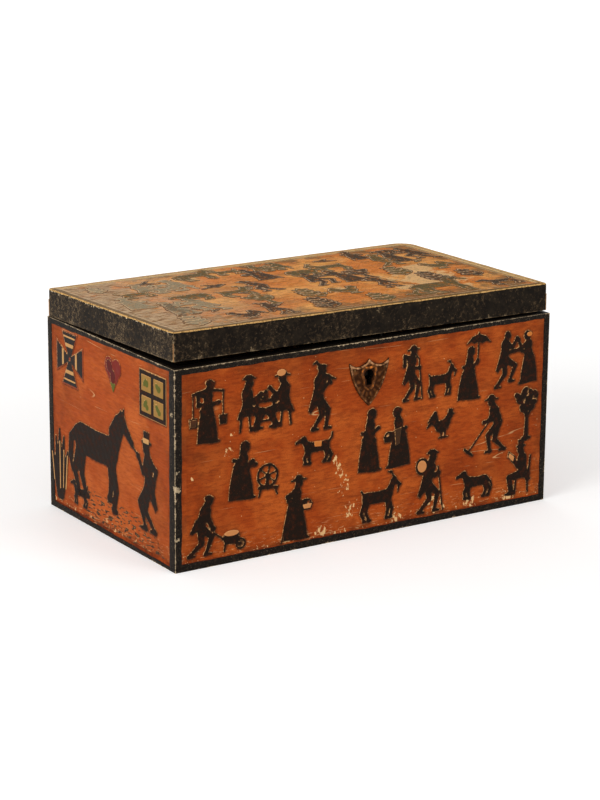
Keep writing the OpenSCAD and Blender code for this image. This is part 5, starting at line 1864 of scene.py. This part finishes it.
def add_stains_and_shadows(name, pictures, bold, on_face, material, step=0.8):
    """
    The paint round the pictures that old paste has stained, with painted shadow below them and to their
    right:
    sheets larger than the papers, almost level with the paint and in its material. Each lies a hair above the
    last, in case two meet.
    """
    under = [(*picture[:6], 0.02 * at) for at, picture in enumerate(pictures) if picture[6] == 0]
    sheet, faces, marks, _ = pasted(under, step, bold + stain_and_shadow_w, stain_t)
    points = on_face(sheet[:, 0], sheet[:, 1], sheet[:, 2])
    add_piece(name, points, outwards(points, faces), material, "box", [], marks, 60.0)


def decorate(side, pictures, step, bold, on_face, paint):
    """Pastes its pictures on one side of the box, with the stains and painted shadows round them."""
    add_pictures(side + "_cut_outs", pictures, step, bold, on_face, cut_paper)
    add_stains_and_shadows(side + "_stains_and_shadows", pictures, bold, on_face, paint)


upper = [picture for picture in front_pictures if picture[2] >= front_row_up]
lower = [picture for picture in front_pictures if picture[2] < front_row_up]
add_pictures("front_upper_cut_outs", upper, front_step, front_bold, on_front, cut_paper)
add_pictures("front_lower_cut_outs", lower, front_step, front_bold, on_front, cut_paper)
add_stains_and_shadows("front_stains_and_shadows", front_pictures, front_bold, on_front, front_material)

# The left end
# A horse and groom with a dog, reeds, and strokes for the ground. Above them is traditional scissor work:
# a cross with striped arms, a heart, and a window of four panes.
left_step = 0.55
left_bold = 0.4
stroke_step = 0.3
stroke_bold = 0.05


def arm_part(turn, inner, outer, slope=0.58):
    """The part of a cross's arm between two distances from its middle, as wide as its slope says."""
    c, s = math.cos(math.radians(turn)), math.sin(math.radians(turn))
    corners = [
        (inner, -slope * inner - 0.2), (outer, -slope * outer - 0.2), (outer, slope * outer + 0.2),
        (inner, slope * inner + 0.2),
    ]
    return patch(*[(x * c - y * s, x * s + y * c) for x, y in corners])


def striped_cross(*where):
    """A cross whose four arms widen outwards: red-brown at the edge, black on that, with pale bands."""
    turns = (0, 90, 180, 270)
    return [
        ([arm_part(t, 0.0, 4.85, 0.55) for t in turns], *where, red_paper, 0),
        ([arm_part(t, 0.4, 4.6, 0.5) for t in turns], *where, blue_black, 1),
        ([arm_part(t, 2.2, 2.65, 0.46) for t in turns], *where, buff_paper, 2),
        ([arm_part(t, 3.85, 3.95, 0.46) for t in turns[1::2]], *where, buff_paper, 2),
    ]


def pasted_heart(*where):
    """A maroon heart, darker in its middle, with a green leaf at its point."""
    heart = [
        oval(-1.15, 1.0, 1.35, 1.45, 20), oval(1.15, 1.0, 1.35, 1.45, -20),
        patch((-2.3, 0.4), (0, 1.8), (2.3, 0.4), (0.1, -2.8)),
    ]
    shade = [oval(-1.1, 1.0, 0.85, 1.0, 20), oval(0.0, -0.6, 0.75, 1.1)]
    leaf = [patch((-0.75, -1.7), (0.75, -1.7), (0.1, -3.0))]
    return [(heart, *where, maroon_paper, 0), (shade, *where, dark_maroon, 1), (leaf, *where, green_paper, 1)]


def pasted_window(*where):
    """A black frame with two bars, and in each quarter a pale pane with a green blot in its middle."""
    frame_sheet = [patch((-5, -4.5), (5, -4.5), (5, 4.5), (-5, 4.5))]
    panes, lights, pale_edge = [], [], [patch((-5.1, -4.6), (5.1, -4.6), (5.1, 4.6), (-5.1, 4.6))]
    for x in (-2.35, 2.35):
        for y in (-2.1, 2.1):
            panes += [patch((x - 1.7, y - 1.5), (x + 1.7, y - 1.5), (x + 1.75, y + 1.5), (x - 1.7, y + 1.5))]
            lights += [oval(x - 0.35, y + 0.15, 0.5, 0.85, 20 * x)]
            lights += [oval(x + 0.3, y - 0.25 + 0.1 * y, 0.6, 0.55, 30 * y)]
    return [
        (pale_edge, *where, buff_paper, 0), (frame_sheet, *where, black_paper, 1),
        (panes, *where, pane_paper, 2), (lights, *where, green_paper, 3),
    ]


def reeds():
    """A clump of tall blades that spread from one root."""
    blades = []
    for x, top in ((-1.4, 5.0), (-0.7, 6.6), (0.0, 7.6), (0.8, 6.9), (1.5, 5.4)):
        blades.append(limb((x * 0.3, 0.0, 0.35), (x * 0.8, top * 0.6, 0.5), (x * 1.25, top, 0.12)))
    return blades


def hatching(rows, left, right):
    """Rows of short strokes for the ground, their starts and lengths set by sines."""
    strokes = []
    for row in range(rows):
        x = left + 0.5 + 0.4 * math.sin(row * 2.1)
        while x < right - row * 0.4:
            long = 0.7 + 0.4 * math.sin(x * 8.5 + row)
            y = row * 0.5 + 0.2 * math.sin(x * 1.7 + row * 1.3)
            strokes.append(limb((x, y, 0.07), (x + long, y + 0.12 * math.sin(x * 5), 0.05)))
            x += long + 0.6 + 0.4 * math.sin(x * 4.5 + row * 2.2)
    return strokes


hat_band = [patch((-0.62, 9.75), (0.52, 9.75), (0.48, 9.35), (-0.56, 9.35))]
left_pictures = [
    *striped_cross(-58, 119, 4.1, 1),
    *pasted_heart(6, 123, 4.4, 1),
    *pasted_window(62, 119, 3.55, 1),
    (horse_and_groom, -18, 20, 7.9, 1, black_paper, 0),
    (reeds(), -76, 12, 6.6, 1, black_paper, 0),
    ([rod(-1.3, 1.5, -1.75, 4.6, 0.02), rod(0.05, 0.8, 0.05, 6.2, 0.02)], -76, 12, 6.6, 1, buff_paper, 1),
    ([rod(1.35, 1.0, 1.8, 4.9, 0.03), rod(0.75, 1.0, 1.0, 5.4, 0.01)], -76, 12, 6.6, 1, buff_paper, 1),
    (dog(), -46, 12, 3.3, -1, black_paper, 0),
    (hat_band, -18 + 8.85 * 7.9, 20, 6.8, -1, buff_paper, 1),
]
decorate("left", left_pictures, left_step, left_bold, on_left, end_material)
stroke_paper = cut_paper_material(
    "dark_stroke_paper", bare=rust, worn=0.03, mottle=0.5, edge_colour=srgb(214, 160, 104), edge_w=0.2,
    edge_amount=0.5, dark_side=0.1,
)
left_strokes = [(hatching(9, -8, 15), 0, 7, 5.0, 1, brown_paper, 0)]
add_pictures("left_ground_strokes", left_strokes, stroke_step, stroke_bold, on_left, stroke_paper)

# The right end
# Guessed from the other sides: a tree, dancers and a goat under a heart and two birds,
# with a few strokes for the ground.
plain_step = 0.6
plain_bold = 0.3
right_figures = [
    (tree(), -60, 20, 8.2, 1),
    (couple_dancing, -18, 30, 6.2, 1),
    (goat, 62, 24, 5.2, -1),
    (bird(), 58, 108, 4.2, -1),
    (bird(0.4), -44, 112, 3.8, 1),
]
right_pictures = pasted_heart(0, 120, 4.0, 1) + [(*figure, black_paper, 0) for figure in right_figures]
decorate("right", right_pictures, plain_step, plain_bold, on_right, end_material)
right_strokes = [(hatching(5, -8, 14), -15, 9, 5.0, 1, brown_paper, 0)]
add_pictures("right_ground_strokes", right_strokes, stroke_step, stroke_bold, on_right, stroke_paper)

# The back
# Guessed from the other sides: two rows of figures and beasts between a tree and sprigs,
# all of them black.
back_figures = [
    (sprig(5, 7.0, 0.8), -132, 84, 4.6, 1),
    (market_woman, -84, 80, 4.1, 1),
    (cockerel, -30, 92, 3.6, 1),
    (barrow_man, 22, 80, 4.0, 1),
    (tree(), 88, 78, 4.4, 1),
    (sprig(5, 7.0, -0.8), 132, 84, 4.6, 1),
    (friends_at_table, -112, 18, 4.4, 1),
    (goatherd, -56, 18, 4.2, 1),
    (horse, 36, 16, 4.8, -1),
    (hay_raker, 92, 18, 4.3, 1),
    (dog(), 142, 18, 3.0, -1),
]
back_pictures = [(*figure, black_paper, 0) for figure in back_figures]
decorate("back", back_pictures, plain_step, plain_bold, on_back, back_material)

# The lid's cut-outs
# Five rows of small pictures that have gone olive and grey under the varnish and stand up at their pale
# edges. They follow the warp of the board.
lid_step = 0.6
lid_bold = 1.1
lid_rows = (-78, -44, -9, 26, 56)
lid_columns = 8
lid_first_across = -130
lid_column_w = 37
olive_paper = srgb(90, 77, 40)
dark_olive = srgb(56, 43, 25)
grey_olive = srgb(146, 130, 98)


def on_lid(across, back, out):
    """A place on the lid's top, twisted and tipped with it."""
    return tipped(twisted(np.stack([across, back, lid_top_z + out], -1)), lid_ajar)


kinds = [
    sprig(4, 6.0, 0.9, 0.5), dog(), couple_dancing, bird(), goat, sprig(5, 7.0, -1.0, 0.5),
    market_woman, cockerel, friends_at_table, tree(8.0), horse, hay_raker, sprig(3, 5.0, 0.5, 0.6),
    sheep, fiddler, bird(0.2),
]
lid_pictures = []
for row, back in enumerate(lid_rows):
    for column in range(lid_columns):
        at = row * lid_columns + column
        across = lid_first_across + column * lid_column_w + 7 * math.sin(at * 1.9) + (row % 2) * 6
        colour = (olive_paper, dark_olive)[(at * 5 // 3) % 2]
        if column < 2 and (row + column) % 2 == 0:
            colour = grey_olive
        size = 4.3 + 0.4 * math.sin(at * 2.3) if row < 4 else 3.2
        kind = kinds[(at * 7 + row * 3) % len(kinds)]
        facing = (1, -1)[at % 2]
        lid_pictures.append((kind, across, back + 3 * math.sin(at * 3.1), size, facing, colour, 0))
lid_cut_paper = cut_paper_material(
    "varnished_cut_paper", bare=lid_ground, worn=0.17, mottle=1.0, edge_colour=srgb(232, 190, 142),
    edge_w=1.7, edge_amount=1.0, dark_side=0.7, gloss=0.012, dirt_w=0.45,
)
lid_bands = {
    "lid_front_cut_outs": (-90, -25), "lid_middle_cut_outs": (-25, 15), "lid_back_cut_outs": (15, 90)
}
for name, (low, high) in lid_bands.items():
    some = [picture for picture in lid_pictures if low <= picture[2] < high]
    add_pictures(name, some, lid_step, lid_bold, on_lid, lid_cut_paper, "lid")
